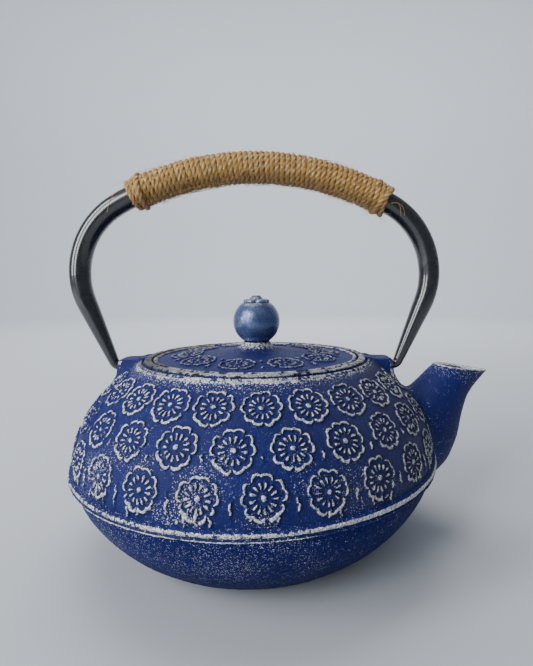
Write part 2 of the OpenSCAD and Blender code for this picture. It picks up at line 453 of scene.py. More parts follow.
def enamel_material(name, gloss, pebble_size):
    """Blue enamel on a cast skin; the silver layer says where the casting is rubbed bright."""
    g = Graph(name)
    rubbed, specks, painted_shade_and_dark_marks, dull = (g.attribute(k) for k in ("silver", "speckle", "painted_shade_and_dark_marks", "dull"))
    fine = g.noise(0.00042, 3, 0.65)
    coarse = g.noise(0.0015, 3, 0.6)
    pebble = g.cells(pebble_size)
    swing = g.plus(g.times(fine, 0.85), g.times(coarse, 0.45))
    lines = g.ramp(g.plus(rubbed, g.math("SUBTRACT", swing, 0.65)), 0.50, 0.68)
    patches = g.ramp(g.plus(coarse, g.times(specks, 0.42)), 0.60, 0.86)
    grains = g.times(g.ramp(pebble, 0.44, 0.24), g.ramp(fine, 0.45, 0.56))
    bright = g.math("MAXIMUM", lines, g.times(g.times(grains, patches), 0.9))
    blue = g.mix(g.ramp(g.noise(0.012, 3, 0.55), 0.3, 0.7), DEEP_BLUE, LIGHT_BLUE)
    blue = g.mix(g.ramp(pebble, 0.1, 0.6), blue, DEEP_BLUE)
    # The dust layer is a painted warm reflection on the shoulder's right side, lifting the blue toward
    # grey
    blue = g.mix(g.attribute("dust"), blue, DUST_AND_WARM_REFLECTION)
    # Painted shade at the foot of raised lines, in grooves, at the lid's gap and down the bowl; also real
    # chips, and the darkened mouth wall and spout channel
    blue = g.mix(g.times(painted_shade_and_dark_marks, 0.85), blue, SHADE_AND_MARK_DARK)
    shade = g.plus(g.times(fine, 0.7), g.times(g.noise(0.0009, 2, 0.6), 0.3))
    grey = g.mix(g.ramp(shade, 0.39, 0.61), THIN_SILVER, SILVER)
    # The dull layer greys the silver: real dull silver on the rim and the lid, painted shade on the
    # shoulder's right side
    grey = g.mix(dull, grey, DUST_AND_WARM_REFLECTION)
    g.set(Base_Color=g.mix(bright, blue, grey), Metallic=g.times(bright, 0.35))
    g.set(Roughness=g.ramp(fine, 0.25, 0.75, 0.44, 0.60), Specular_IOR_Level=gloss)
    pebbles = g.times(g.ramp(pebble, 0.0, 0.6, 1, 0), 0.6)
    g.bump(g.plus(pebbles, g.times(fine, 0.8)), 0.00024, 0.8)
    return g.material


def knob_material():
    """Satin blue-grey enamel, thin and rubbed, with faint strokes."""
    g = Graph("knob_enamel")
    strokes = g.noise(0.0045, 4, 0.65, g.stretched(1.6, 1.6, 1.0))
    fine = g.noise(0.0006, 3, 0.6)
    rubbed = g.ramp(g.plus(strokes, g.times(g.attribute("silver"), 0.5)), 0.5, 0.8)
    base = g.mix(g.ramp(g.noise(0.007, 3), 0.3, 0.7), KNOB_DEEP, KNOB_LIGHT)
    g.set(Base_Color=g.mix(g.times(rubbed, 0.7), base, KNOB_RUBBED))
    g.set(Metallic=g.plus(g.times(rubbed, 0.25), 0.5), Roughness=g.ramp(fine, 0.2, 0.8, 0.20, 0.34))
    g.bump(g.plus(g.times(fine, 0.4), g.noise(0.0035, 3, 0.55)), 0.0002, 0.8)
    return g.material


def black_material():
    """Black paint on steel: smooth, with a faint orange peel and a few rubs."""
    g = Graph("black_paint")
    dust = g.ramp(g.noise(0.00035, 2, 0.7), 0.70, 0.80)
    base = g.mix(g.noise(0.02, 3), PAINT_DEEP, PAINT_LIGHT)
    g.set(Base_Color=g.mix(g.times(dust, 0.3), base, PAINT_DUST))
    g.set(Roughness=g.ramp(g.noise(0.006, 4, 0.65), 0.3, 0.7, 0.22, 0.34))
    g.set(Coat_Weight=1.0, Coat_Roughness=0.07)
    g.bump(g.noise(0.0011, 3, 0.55), 0.00004, 0.5)
    return g.material


def jute_material():
    """Twisted jute: fine fibres along each ply, pale glints, painted shade in the creases between plies
    and painted shade with dirt on the underside.
    """
    g = Graph("jute_twine")
    along, around, crease, under = (g.attribute(k) for k in ("along", "around", "crease", "under"))
    ply_space = g.vector(g.times(along, 0.1), g.times(around, 1.4), g.times(around, 0.7))
    fibres = g.noise(0.5, 3, 0.6, ply_space)
    base = g.mix(g.ramp(fibres, 0.32, 0.68), JUTE_DARK, JUTE_GOLD)
    base = g.mix(g.ramp(g.noise(0.005, 3, 0.6), 0.4, 0.8, 0.0, 0.7), base, JUTE_BROWN)
    # Painted shade in the creases between plies
    base = g.mix(g.times(crease, 0.55), base, JUTE_CREASE_SHADE)
    # Painted shade, with some dirt, on the underside
    base = g.mix(g.times(under, 0.6), base, JUTE_UNDER_SHADE_AND_DIRT)
    glint = g.times(g.ramp(g.noise(0.0021, 2, 0.6), 0.50, 0.64), g.ramp(crease, 0.6, 0.1))
    glint = g.times(glint, g.ramp(under, 0.5, 0.0))
    g.set(Base_Color=g.mix(g.times(glint, 0.5), base, JUTE_GLINT))
    g.set(Roughness=g.ramp(fibres, 0.3, 0.7, 0.7, 0.42))
    g.set(Sheen_Weight=0.06, Sheen_Roughness=0.5, Sheen_Tint=(0.9, 0.75, 0.5))
    g.bump(fibres, 0.00035, 1.0)
    return g.material


def steel_material(name, tone, low, high):
    """Plain steel, softly streaked; low and high are its roughness."""
    g = Graph(name)
    streaks = g.noise(0.0012, 4, 0.65)
    dull = tuple(0.72 * c for c in tone)
    g.set(Base_Color=g.mix(g.ramp(g.noise(0.006, 4, 0.6), 0.3, 0.7), dull, tone))
    g.set(Metallic=1.0, Roughness=g.ramp(streaks, 0.3, 0.7, low, high))
    g.bump(streaks, 0.00002, 0.5)
    return g.material


def interior_material():
    """Black vitreous enamel inside the pot, slightly uneven."""
    g = Graph("inner_enamel")
    fine = g.noise(0.002, 4, 0.6)
    g.set(Base_Color=g.mix(g.noise(0.01, 4), INNER_DEEP, INNER_LIGHT))
    g.set(Roughness=g.ramp(fine, 0.3, 0.7, 0.3, 0.5))
    g.bump(fine, 0.0001, 0.6)
    return g.material


def stage_material(name, colour):
    """A matt, almost even surface."""
    g = Graph(name)
    shaded = tuple(0.97 * c for c in colour)
    g.set(Base_Color=g.mix(g.noise(0.4, 2), colour, shaded), Roughness=0.85)
    return g.material


ENAMEL = enamel_material("blue_enamel", 0.15, 0.00062)
MATT_ENAMEL = enamel_material("blue_enamel_matt", 0.03, 0.0005)
KNOB = knob_material()
BLACK = black_material()
JUTE = jute_material()
STEEL = steel_material("stainless_steel", (0.62, 0.62, 0.61), 0.22, 0.4)
FASTENER = steel_material("plated_steel", (0.36, 0.39, 0.46), 0.25, 0.45)
INNER = interior_material()


# ---------------------------------------------------------------- the casting's shapes

# A margin or distance that stands for out of every fitting's reach
FAR = 99.0

BOWL = bezier(
    (BASE_R, 0), (BASE_R + 18.6, 8.6), (BELT_R - 2.7, 28.5), (BELT_R - 2.4, BELT_Z - 0.4), 120
)
SHOULDER = bezier(
    (BELT_R - 2.1, BELT_TOP + 0.3), (BELT_R - 3.3, BELT_TOP + 21),
    (RIM_R + 15.2, RIM_Z - 13.6), (RIM_R, RIM_Z - 2.0), 120,
)
RIM_LINE = [[RIM_R - 0.3, RIM_Z - 1.3], [RIM_R - 2.6, RIM_Z - 0.6], [MOUTH_R, RIM_Z], [20, RIM_Z]]
BODY_LINE = np.concatenate([BOWL[::3], SHOULDER[::3], RIM_LINE])

HOLLOW_LOW = bezier(
    (BASE_R - 4, FLOOR_Z), (BASE_R + 15.5, FLOOR_Z + 8), (BELT_R - 6, 30), (BELT_R - 6, BELT_Z), 40
)
HOLLOW_HIGH = bezier(
    (BELT_R - 5.7, BELT_TOP), (BELT_R - 7, BELT_TOP + 19),
    (RIM_R + 11, RIM_Z - 17.5), (RIM_R - 4.9, NECK_Z), 40,
)
HOLLOW = np.concatenate([HOLLOW_LOW, HOLLOW_HIGH])

# Spout stations, root to mouth: upper edge x z, lower edge x z, half width, point
SPOUT_OUT = [
    [58, 52, 66, 24, 18, 0],
    [64, 58, 81.5, 24, 17.5, 0],
    [70, 64, 92.3, 31.5, 16, 0],
    [75, 69, 98.4, 43.5, 13.5, 0.05],
    [79, 73, 101.3, 57, 11, 0.1],
    [83, 77, 105, 67.5, 9, 0.2],
    [87.2, 81.2, MOUTH_TIP_X, 77.8, 7.2, 0.35],
]
SPOUT_IN = [
    [58, 50, 60, 33, 9.5, 0],
    [69, 56, 82, 35, 9.5, 0],
    [76, 62, 91.5, 41, 9, 0],
    [81, 68, 95.8, 50, 8, 0.05],
    [85, 73.5, 98, 60, 7, 0.1],
    [88.4, 77.6, 102.6, 69.5, 6, 0.2],
    [90.4, 80.0, 110.6, 77.4, 5.4, 0.35],
]
MOUTH = len(SPOUT_OUT) - 1

# The lug's outline at some heights: how far out its face is and half its width
LUG_LOW, LUG_HIGH = 60, RIM_Z - 2.4
LUG_ROOT_X = 50
LUG_CORNER_R = 2.4
LUG_FACE = ([60, 70, 73.5, 77.5, 83, 85], [69.9, 69.4, 67.2, 65.9, 65.6, 64.9])
LUG_HALF = ([60, 70, 82.5, 85], [13, 11.6, 7.5, 7.0])


def spout_rings(stations, rows, sides, way=1):
    """Rings of the spout from root to mouth, or back if way is -1, rows x sides x 3."""
    v = catmull(stations, np.linspace(0, MOUTH, rows)[::way])
    upper, lower = v[:, 0:2], v[:, 2:4]
    a = even_turn(sides)
    centre, half = (upper + lower) / 2, (upper - lower) / 2
    flat = centre[:, None] + half[:, None] * np.cos(a)[None, :, None]
    y = v[:, 4:5] * np.sin(a) * (1 + v[:, 5:6] * np.cos(a))
    return np.stack([flat[..., 0], y, flat[..., 1]], -1)


def lug_outline(z, inset):
    """The U-shaped outline of the +X lug at a height, drawn in by an inset."""
    face = np.interp(z, *LUG_FACE) - inset
    half = np.interp(z, *LUG_HALF) - inset
    r = min(LUG_CORNER_R, half * 0.9)
    side = np.linspace(LUG_ROOT_X, face - r, 20, endpoint=False)
    left = np.stack([side, np.full(20, -half)], -1)
    turn_in = arc(face - r, -half + r, r, -math.pi / 2, 0, 12)
    middle = np.linspace(-half + r, half - r, 18)[1:-1]
    front = np.stack([np.full(16, face), middle], -1)
    mirror = [1, -1]
    outline = np.concatenate([left, turn_in, front, turn_in[::-1] * mirror, left[::-1] * mirror])
    return np.column_stack([outline, np.full(len(outline), z)])


def lug_grid():
    """The +X lug: outlines up its height, closed by rounded rows on top."""
    bevel = 1.0
    rows = [(z, 0.0) for z in np.linspace(LUG_LOW, LUG_HIGH, 46)]
    for a in np.linspace(0.25, 1.571, 6):
        rows.append((LUG_HIGH + bevel * math.sin(a), bevel * (1 - math.cos(a))))
    rows += [(LUG_HIGH + bevel, inset) for inset in np.linspace(1.6, 6.4, 8)]
    return np.array([lug_outline(z, inset) for z, inset in rows])


def tree_of(points, flip=False, wrap=True):
    """A search tree over the faces of a grid."""
    quads = grid_faces(*points.shape[:2], wrap=wrap, flip=flip)
    return BVHTree.FromPolygons(points.reshape(-1, 3).tolist(), quads.tolist())


def capped(rings):
    """Rings with the first one drawn in to a point inside the pot, so the root is closed."""
    middle = rings[0].mean(0)
    tip = middle + 0.02 * (rings[0] - middle) - [14, 0, 0]
    return np.concatenate([tip[None], rings])


LUG_GRID = lug_grid()
LUG_TREE = tree_of(LUG_GRID, wrap=False)
SPOUT_TREE = tree_of(capped(spout_rings(SPOUT_OUT, 73, 72)), flip=True)
CHANNEL_TREE = tree_of(capped(spout_rings(SPOUT_IN, 49, 48)), flip=True)


def tree_distance(tree, points):
    """Signed distance from points to a surface, positive outside."""
    out = np.empty(len(points))
    for i, p in enumerate(points):
        p = Vector(p)
        near, normal, _, distance = tree.find_nearest(p)
        out[i] = distance if (p - near).dot(normal) > 0 else -distance
    return out


def line_distance(line, points):
    """Signed distance to the surface turned from a line that runs upwards, positive outside."""
    p = np.stack([radius(points), points[..., 2]], -1)
    a, d = line[:-1], np.diff(line, axis=0)
    rel = p[:, None] - a
    t = np.clip((rel * d).sum(-1) / (d * d).sum(-1), 0, 1)
    gap = rel - t[..., None] * d
    far = np.linalg.norm(gap, axis=-1)
    k = far.argmin(1)
    row = np.arange(len(p))
    out = np.stack([d[k, 1], -d[k, 0]], -1)
    return far[row, k] * np.sign((gap[row, k] * out).sum(-1) + 1e-12)


def smooth_min(a, b, k):
    """The smaller of two distances, rounded over a width k where they meet."""
    h = np.clip(k - np.abs(a - b), 0, None) / k
    return np.minimum(a, b) - h * h * k / 4


def within(points, x, y, z=-1.0):
    """Whether each point lies beyond x, above z and nearer than y to the plane y = 0."""
    return (points[..., 0] > x) & (np.abs(points[..., 1]) < y) & (points[..., 2] > z)


def casting_distances(points, own, offset):
    """Distances to the round body, the lugs and the spout; its own surface is offset away."""
    mirrored = np.column_stack([np.abs(points[:, 0]), points[:, 1:]])
    by_lug = within(mirrored, 44, 24, 61)
    by_spout = within(points, 40, 40)
    lug, spout = (np.full(len(points), FAR) for _ in range(2))
    lug[by_lug] = tree_distance(LUG_TREE, mirrored[by_lug])
    spout[by_spout] = tree_distance(SPOUT_TREE, points[by_spout])
    measured = {"body": line_distance(BODY_LINE, points), "lug": lug, "spout": spout}
    measured[own] = offset
    return measured


def flow_together(points, normals, own):
    """Moves points along their normals onto one smooth casting.

    Returns the points, their margins and their distances to the casting's other parts. The
    margin is how far another part is from covering a point: negative means it is covered.
    """
    offset = np.zeros(len(points))
    for _ in range(5):
        near = casting_distances(raised(points, normals, offset), own, offset)
        joined = smooth_min(near["body"], near["lug"], LUG_FILLET)
        offset = np.clip(offset - smooth_min(joined, near["spout"], SPOUT_FILLET), -1, 8)
    moved = raised(points, normals, offset)
    near = casting_distances(moved, own, offset)
    del near[own]
    clear = np.minimum(*near.values())
    margin = clear - offset
    dive = 0.5 * np.clip(-margin, 0, 2) ** 2
    return raised(moved, normals, -dive), margin, clear


def flowed_grid(points, own, wrap=True, flip=False):
    """A whole grid flowed onto the casting, with its normals and margins."""
    normals = grid_normals(points, wrap, flip)
    moved, margin, _ = flow_together(points.reshape(-1, 3), normals.reshape(-1, 3), own)
    return moved.reshape(points.shape), normals, margin.reshape(points.shape[:2])


def near_fittings(points):
    """Whether the spout or a lug can reach each point of the body."""
    mirrored = np.abs(points)
    return within(points, 46, 36) | within(mirrored, 46, 22, 58)


def body_surface(points, normals, relief):
    """Body points with their relief, flowed into the spout and the lugs, and the margin."""
    margin = np.full(points.shape[:2], FAR)
    moved = points.copy()
    near = near_fittings(points)
    moved[near], margin[near], clear = flow_together(points[near], normals[near], "body")
    calm = np.ones(points.shape[:2])
    calm[near] = smoothstep(0.5, 4.5, clear)
    return raised(moved, normals, relief * calm), margin, calm


# ---------------------------------------------------------------- relief

PETAL = TAU / 5
STAMEN = TAU / 13


def blossom(u, v, size, spun, heavy):
    """Line strength of one blossom: five two-lobed petals, a ring of stamens and a centre dot."""
    rho = np.hypot(u, v) + 1e-6
    turn = np.arctan2(u, v) - spun
    petal = np.mod(turn + PETAL / 2, PETAL) - PETAL / 2
    lobe = np.abs(np.cos(5 * (petal - PETAL / 4))) ** 0.6
    to_gap = np.abs(petal) - PETAL / 2
    edge = size * (1 - 0.12 * (1 - lobe) - 0.10 * bell(to_gap, 0.11))
    width = 0.36 + heavy * np.clip(-v / size, 0, 1)
    outline = plateau(rho - edge + width, width) * (1 - 0.85 * bell(to_gap, 0.055))
    beam = np.mod(turn, STAMEN) - STAMEN / 2
    reach = rho / size
    thick = 0.17 + 0.22 * smoothstep(0.36, 0.58, reach)
    ends = smoothstep(0.30, 0.38, reach) * smoothstep(0.67, 0.59, reach)
    stamens = plateau(rho * np.sin(beam), thick) * ends
    dot = plateau(rho, 0.125 * size)
    return np.maximum(np.maximum(outline, stamens), dot)


def around(theta, start, count):
    """For each azimuth, the number of the nearest of count even places and the angle from it."""
    step = TAU / count
    cell = np.round((theta - start) / step)
    return cell.astype(int) % count, theta - start - cell * step


def flower_row(theta, s, r, start, count, centre, size, droop):
    """Line strength of a row of blossoms round the casting; droop stretches their lower halves."""
    cell, angle = around(theta, start, count)
    tilt = rng.uniform(-0.16, 0.16, count)[cell]
    scale = size * rng.uniform(0.97, 1.03, count)[cell]
    up = s - centre + rng.uniform(-0.25, 0.25, count)[cell]
    across = angle * r
    up = np.where(up < 0, up / (1 + droop), up)
    near = np.hypot(across, up) < size * 1.3
    out = np.zeros(theta.shape)
    out[near] = blossom(across[near], up[near], scale[near], tilt[near], 0.2 + 1.6 * droop)
    return out


def dash_row(theta, s, r, start, count, centre, length, seed, width=0.4):
    """Short wiggling strokes that run up the casting between the blossoms."""
    cell, angle = around(theta, start, count)
    local = np.random.default_rng(seed)
    phase = local.uniform(0, TAU, count)[cell]
    half = length / 2 * local.uniform(0.75, 1.1, count)[cell]
    up = s - centre + local.uniform(-0.6, 0.6, count)[cell]
    across = angle * r + 0.28 * np.sin(up * 1.7 + phase) + 0.16 * np.sin(up * 4.1 + 2 * phase)
    return plateau(across, width) * plateau(up, half)


def spread(grid, reach=2):
    """A grid of values averaged over a few cells each way."""
    for axis in (0, 1):
        cells = np.arange(grid.shape[axis])
        near = [np.clip(cells + k, 0, cells[-1]) for k in range(-reach, reach + 1)]
        grid = sum(np.take(grid, k, axis) for k in near) / len(near)
    return grid


def beside(lines, strength):
    """Painted shade: the dark line that lies along the foot of raised lines."""
    return np.clip(spread(lines) - lines, 0, 1) * strength


# ---------------------------------------------------------------- pot pieces

FLOWERS = 24
HALF_STEP = math.pi / FLOWERS
ROW_START = -math.pi / 2 + math.radians(4.9)
RELIEF_H = 0.88

# Rows of blossoms: height, shift round the pot, size, droop. Strokes: height, shift, length
FLOWER_ROWS = [(76.45, 0.0, 7.6, 0.0), (65.4, HALF_STEP, 7.55, 0.0), (52.0, 0.0, 7.45, 0.06)]
STROKE_ROWS = [(63.0, 0.0, 3.4), (48.8, HALF_STEP, 7.4)]
DRIP_Z, DRIP_LENGTH, DRIP_WIDTH = 45.0, 3.8, 0.42


def shoulder_at(z):
    """Length along the shoulder line at a height."""
    return np.interp(z, SHOULDER[:, 1], arc_lengths(SHOULDER))


def rub_side(theta):
    """The silver rub is heaviest at the front left and thin at the right."""
    return 0.12 + 0.88 * smoothstep(-0.5, 0.95, np.cos(theta + math.radians(124)))


def shoulder_lines(theta, s, r, points):
    """Relief strength of the three rows of blossoms, the strokes between them and the drips."""
    warp = [0.24 * value_noise(points, 1.6, k) + 0.32 * value_noise(points, 4.5, k + 2) for k in (11, 12)]
    s, theta = s + warp[0], theta + warp[1] / r
    lines = np.zeros(theta.shape)
    for height, shift, size, droop in FLOWER_ROWS:
        centre = shoulder_at(height)
        row = flower_row(theta, s, r, ROW_START + shift, FLOWERS, centre, size, droop)
        low = smoothstep(centre - 2.5, centre - 5, s) * (1 if droop else 0)
        row = row * (1 - 0.9 * low * smoothstep(0.25, 0.5, value_noise(points, 2.1, 15)))
        lines = np.maximum(lines, row)
    for k, (height, shift, length) in enumerate(STROKE_ROWS):
        row = dash_row(theta, s, r, ROW_START + shift, FLOWERS, shoulder_at(height), length, 50 + k)
        lines = np.maximum(lines, row * (1 - 0.8 * smoothstep(0.3, 0.5, value_noise(points, 1.8, 16))))
    _, angle = around(theta, ROW_START, FLOWERS)
    under = smoothstep(6.0, 5.0, np.abs(angle * r))
    drips = dash_row(
        theta, s, r, ROW_START, 5 * FLOWERS, shoulder_at(DRIP_Z), DRIP_LENGTH, 70, DRIP_WIDTH
    )
    drips = drips * under * smoothstep(-0.5, -0.3, value_noise(points, 4.0, 80))
    return np.maximum(lines, drips)


def shoulder_relief(theta, s, r, points):
    """Relief strength and grit of the shoulder, with its colour layers."""
    lines = shoulder_lines(theta, s, r, points)
    side = rub_side(theta)
    # The right side, where a warm reflection and shade are painted through the dull and dust layers
    painted_reflection_right = smoothstep(0.1, 0.8, np.cos(theta))
    far_left = smoothstep(0.35, 1.0, 0.2 * value_noise(points, 11, 27) - np.cos(theta))
    cluster = smoothstep(-0.5, 0.7, value_noise(points, 9, 23)) * (0.12 + 0.88 * side**3)
    cluster = cluster * (0.25 + 0.75 * smoothstep(68, 58, points[..., 2])) * (1 - 0.85 * far_left)
    grit = smoothstep(0.40, 0.62, value_noise(points, 0.62, 24)) * cluster
    worn = 0.84 + 0.14 * value_noise(points, 13, 21) + 0.12 * side - 0.28 * far_left
    silver = lines * (worn + 0.24 * value_noise(points, 0.8, 22))
    top = np.clip(s[-1:] - s, 0, None)
    rub = 0.40 * smoothstep(1.5 + 5.8 * side, 0.6, top) + (0.10 + 0.16 * side) * smoothstep(2.2, 0.4, top)
    flecks = 0.36 * value_noise(points, 0.62, 25) + 0.1 * value_noise(points, 5, 26)
    rub = rub + smoothstep(6.8, 5, top) * flecks
    speckle = 0.08 + 0.95 * cluster + (0.2 + 0.8 * side) * smoothstep(2.5 + 5 * side, 1.5, top)
    return lines, grit, {
        "silver": np.maximum(np.maximum(silver, 0.8 * grit), rub),
        "speckle": speckle,
        # Painted shade round the foot of the raised lines
        "painted_shade_and_dark_marks": beside(lines, 1.6),
        # Painted warm reflection and shade on the right: the blue lifted toward grey and the silver dimmed
        "dull": 0.25 * painted_reflection_right,
        "dust": 0.2 * painted_reflection_right,
    }


def make_shoulder():
    """The upper half of the casting, in a front and a back half that meet under spout and lug."""
    profile = resample(SHOULDER, 136)
    cols = 690
    for name, start in (("pot_shoulder_front", math.pi), ("pot_shoulder_back", 0.0)):
        azimuths = start + np.arange(cols + 1) * math.pi / cols
        points = spin(profile, azimuths)
        s = np.repeat(arc_lengths(profile)[:, None], cols + 1, 1)
        theta = np.repeat(azimuths[None], len(profile), 0)
        lines, grit, layers = shoulder_relief(theta, s, radius(points), points)
        rough = value_noise(points, 0.8, 31)
        relief = lines * (RELIEF_H + 0.12 * rough) + 0.16 * grit + 0.05 * rough
        relief = relief + 0.12 * value_noise(points, 9, 32)
        moved, margin, calm = body_surface(points, grid_normals(points, wrap=False), relief)
        layers["silver"] = layers["silver"] * calm
        add_grid(name, moved, ENAMEL, "pot_body", layers, margin, wrap=False)


def make_bowl():
    """The plain lower half of the casting, pebbled all over."""
    points = spin(resample(BOWL, 92), even_turn(900))
    relief = 0.09 * value_noise(points, 1.15, 41) + 0.12 * value_noise(points, 10, 42)
    moved, margin, _ = body_surface(points, grid_normals(points), relief)
    side = rub_side(azimuth(points))
    z = points[..., 2]
    # The bowl's silver specks are partly real speckle and partly painted glints on the pebbled skin,
    # heavier at the front left
    speckle = 0.05 + 0.25 * value_noise(points, 12, 43) + 0.5 * side**2
    layers = {
        "silver": 0.0,
        "speckle": speckle * smoothstep(0, 26, z),
        # Painted shade: darker towards the bottom, lighter at the front left, towards the window lamps
        "painted_shade_and_dark_marks": 0.32 + 0.25 * smoothstep(30, 8, z) - 0.15 * side,
    }
    add_grid("pot_bowl", moved, MATT_ENAMEL, "pot_body", layers, margin)


def make_belt():
    """The belt: a rough rubbed bead above a groove and a thin bead."""
    edge = [
        (-3.2, -0.9), (-2.2, -0.2), (-0.7, 0.05), (-0.1, 0.45), (-0.5, 0.95), (-0.75, 1.35),
        (-0.3, 1.75), (0, 2.3), (-0.1, 2.9), (-0.9, 3.5), (-2.0, 4.0), (-3.0, 4.8),
    ]
    points = spin(smooth_line(np.add(edge, (BELT_R, BELT_Z)), 30), even_turn(1000))
    rough = 0.16 * value_noise(points * [1, 1, 1.6], 1.1, 51) + 0.1 * value_noise(points, 6, 52)
    moved = raised(points, grid_normals(points), rough)
    theta = azimuth(points)
    up, out = points[..., 2] - BELT_Z, radius(points) - BELT_R
    side, right = rub_side(theta), smoothstep(-0.1, 0.6, np.cos(theta))
    foot = 2.0 - 0.6 * np.maximum(side, right)
    upper = smoothstep(-0.8, -0.25, out) * smoothstep(foot, foot + 0.4, up)
    lower = smoothstep(-0.55, -0.15, out) * smoothstep(1.0, 0.7, up)
    grain = (0.45 - 0.25 * right) * value_noise(points * [1, 1, 0.7], 0.6, 54)
    wear = 0.44 + 0.20 * side + 0.34 * right + 0.18 * value_noise(points, 4, 53) + grain
    thin = 0.62 + 0.14 * side - 0.35 * right + 0.2 * value_noise(points, 5, 55)
    layers = {
        "silver": np.maximum(upper * wear, lower * thin),
        "speckle": 0.5 * side,
        # Painted shade in the groove between the beads
        "painted_shade_and_dark_marks": 0.35 * smoothstep(0.7, 0.3, np.abs(up - 1.25)) * smoothstep(-1.2, -0.6, out),
    }
    near = near_fittings(points)
    clear = tree_distance(SPOUT_TREE, points[near])
    margin = np.full(near.shape, 1.0)
    margin[near] = smooth_min(np.zeros(len(clear)), clear, SPOUT_FILLET) + 2.5
    add_grid("pot_belt", moved, ENAMEL, "pot_body", layers, margin, 0.0)


def make_rim():
    """The mouth: outer bead, groove, inner bead and the wall down to the basket's ledge."""
    wall = MOUTH_R - RIM_R
    edge = [
        (0.5, -2.7), (0.15, -2.1), (-0.2, -1.4), (-0.9, -1.1), (-1.5, -1.3), (-1.9, -1.6),
        (-2.25, -1.45), (-2.5, -0.8), (-2.9, -0.2), (-3.6, 0), (-4.6, 0), (wall + 0.5, -0.15),
        (wall + 0.05, -0.6), (wall, -2.0), (wall, LEDGE_Z - RIM_Z),
    ]
    points = spin(smooth_line(np.add(edge, (RIM_R, RIM_Z)), 60), even_turn(900))
    out, up = radius(points) - RIM_R, points[..., 2] - RIM_Z
    calm = smoothstep(wall + 0.1, wall + 1.2, out)
    rough = value_noise(points, 1.4, 61)
    uneven = calm * (0.15 * rough + 0.08 * value_noise(points, 3, 66) - 0.1)
    moved = raised(points, grid_normals(points), uneven)
    theta = azimuth(points)
    groove = bell(out + 1.95, 0.45)
    inner = smoothstep(-2.2, -2.6, out)
    side = rub_side(theta)
    grit = (1 - inner) * (0.34 * value_noise(points, 0.8, 65) - 0.14)
    wear = 0.66 + 0.16 * side + 0.22 * value_noise(points, 2.4, 62) + 0.15 * rough + grit
    rising = np.where(out > -1.9, smoothstep(-2.9, -1.6, up), smoothstep(-1.3, -0.5, up))
    chips = smoothstep(0.12, 0.36, value_noise(points * [1, 1, 0.2], 1.5, 63)) * (0.3 + 0.7 * inner)
    mouth = smoothstep(wall + 0.5, wall + 0.1, out)
    left_end = smoothstep(0.3, 0.9, -np.cos(theta))
    dull = 0.10 + 0.6 * left_end + 0.35 * inner + 0.25 * value_noise(points, 2.0, 64)
    layers = {
        "silver": wear * rising * (1 - 0.9 * groove) * (1 - 0.9 * chips) * (1 - mouth),
        "speckle": 0.5 * side,
        # Painted shade in the groove; the chips are real; the mouth's wall is darkened down into the pot
        "painted_shade_and_dark_marks": np.clip(groove + chips + mouth, 0, 1),
        "dull": np.clip(dull, 0, 1),
    }
    add_grid("pot_rim", moved, ENAMEL, "pot_body", layers)


def make_foot():
    """The underside: a foot ring round a shallow recess."""
    edge = [
        (0.05, 0.9), (20, 0.9), (36, 0.9), (41, 0.75), (42.2, 0.2), (43, 0.05), (46, 0.0),
        (48.6, 0.02), (49.8, 0.12), (BASE_R + 0.3, 0.3),
    ]
    layers = {"silver": 0.0, "speckle": 0.1}
    add_turned("pot_foot", resample(edge, 50), 240, ENAMEL, "pot_body", layers, grain=0.03)


def make_interior():
    """The inside of the pot: floor, wall, the neck and the ledge that carries the basket."""
    floor = [(0.05, FLOOR_Z), (20, FLOOR_Z)]
    neck = [
        (NECK_R + 0.4, NECK_Z), (NECK_R, NECK_Z + 0.4), (NECK_R, LEDGE_Z - 0.3),
        (NECK_R + 0.3, LEDGE_Z), (MOUTH_R, LEDGE_Z),
    ]
    points = spin(resample(np.concatenate([floor, HOLLOW, neck]), 150), even_turn(320))
    near = within(points, 50, 14)
    margin = np.full(near.shape, FAR)
    margin[near] = tree_distance(CHANNEL_TREE, points[near])
    faces = grid_faces(*points.shape[:2], flip=True)
    faces = faces[margin.ravel()[faces].min(1) > -0.4]
    add_mesh("pot_interior", points, faces, INNER, "pot_body")


def spout_lip(start, end):
    """Rows that roll over from the last ring outside to the first ring of the channel."""
    turns = np.linspace(0.08, 0.95, 9)
    rows = [start + (end - start) * (1 - math.cos(math.pi * t)) / 2 for t in turns]
    lift = [[[0, 0, 0.5 * math.sin(math.pi * t)]] for t in turns]
    return np.array(rows) + lift


def spout_layers(outer, lip, channel):
    """The spout's colour layers: a bright lip, speckle near it and at the root, a dark channel."""
    rise = np.linspace(0, 1, len(outer))[:, None]
    near_lip = np.clip(6 * (rise - 0.83), 0, 1)
    edge = 0.75 * smoothstep(0.97, 1.0, rise) + 0.3 * value_noise(outer, 0.8, 73) * (rise > 0.95)
    speckle = 0.4 * value_noise(outer, 2.2, 75) + 0.3 * smoothstep(0.7, 0.4, rise) + 1.2 * near_lip
    deep = np.linspace(0, 1, len(channel))[:, None]
    tip = channel[..., 0] + 0.6 * value_noise(channel, 1.5, 76) - MOUTH_TIP_X
    pour = smoothstep(-12.5, -9.5, tip)
    lit = 0.74 * np.maximum(smoothstep(0.008, 0.0, deep), pour)
    dark = smoothstep(0.0, 0.01, deep) * (1 - pour)
    plain, hidden = np.zeros(lip.shape[:2]), np.full(lip.shape[:2], -1.0)
    return {
        "silver": np.concatenate([edge, 0.78 + 0.2 * value_noise(lip, 1.5, 74), lit]),
        "speckle": np.concatenate([speckle, hidden, np.full(deep.shape, -1.0) + 0 * dark]),
        "painted_shade_and_dark_marks": np.concatenate([np.zeros(outer.shape[:2]), plain, dark]),
    }


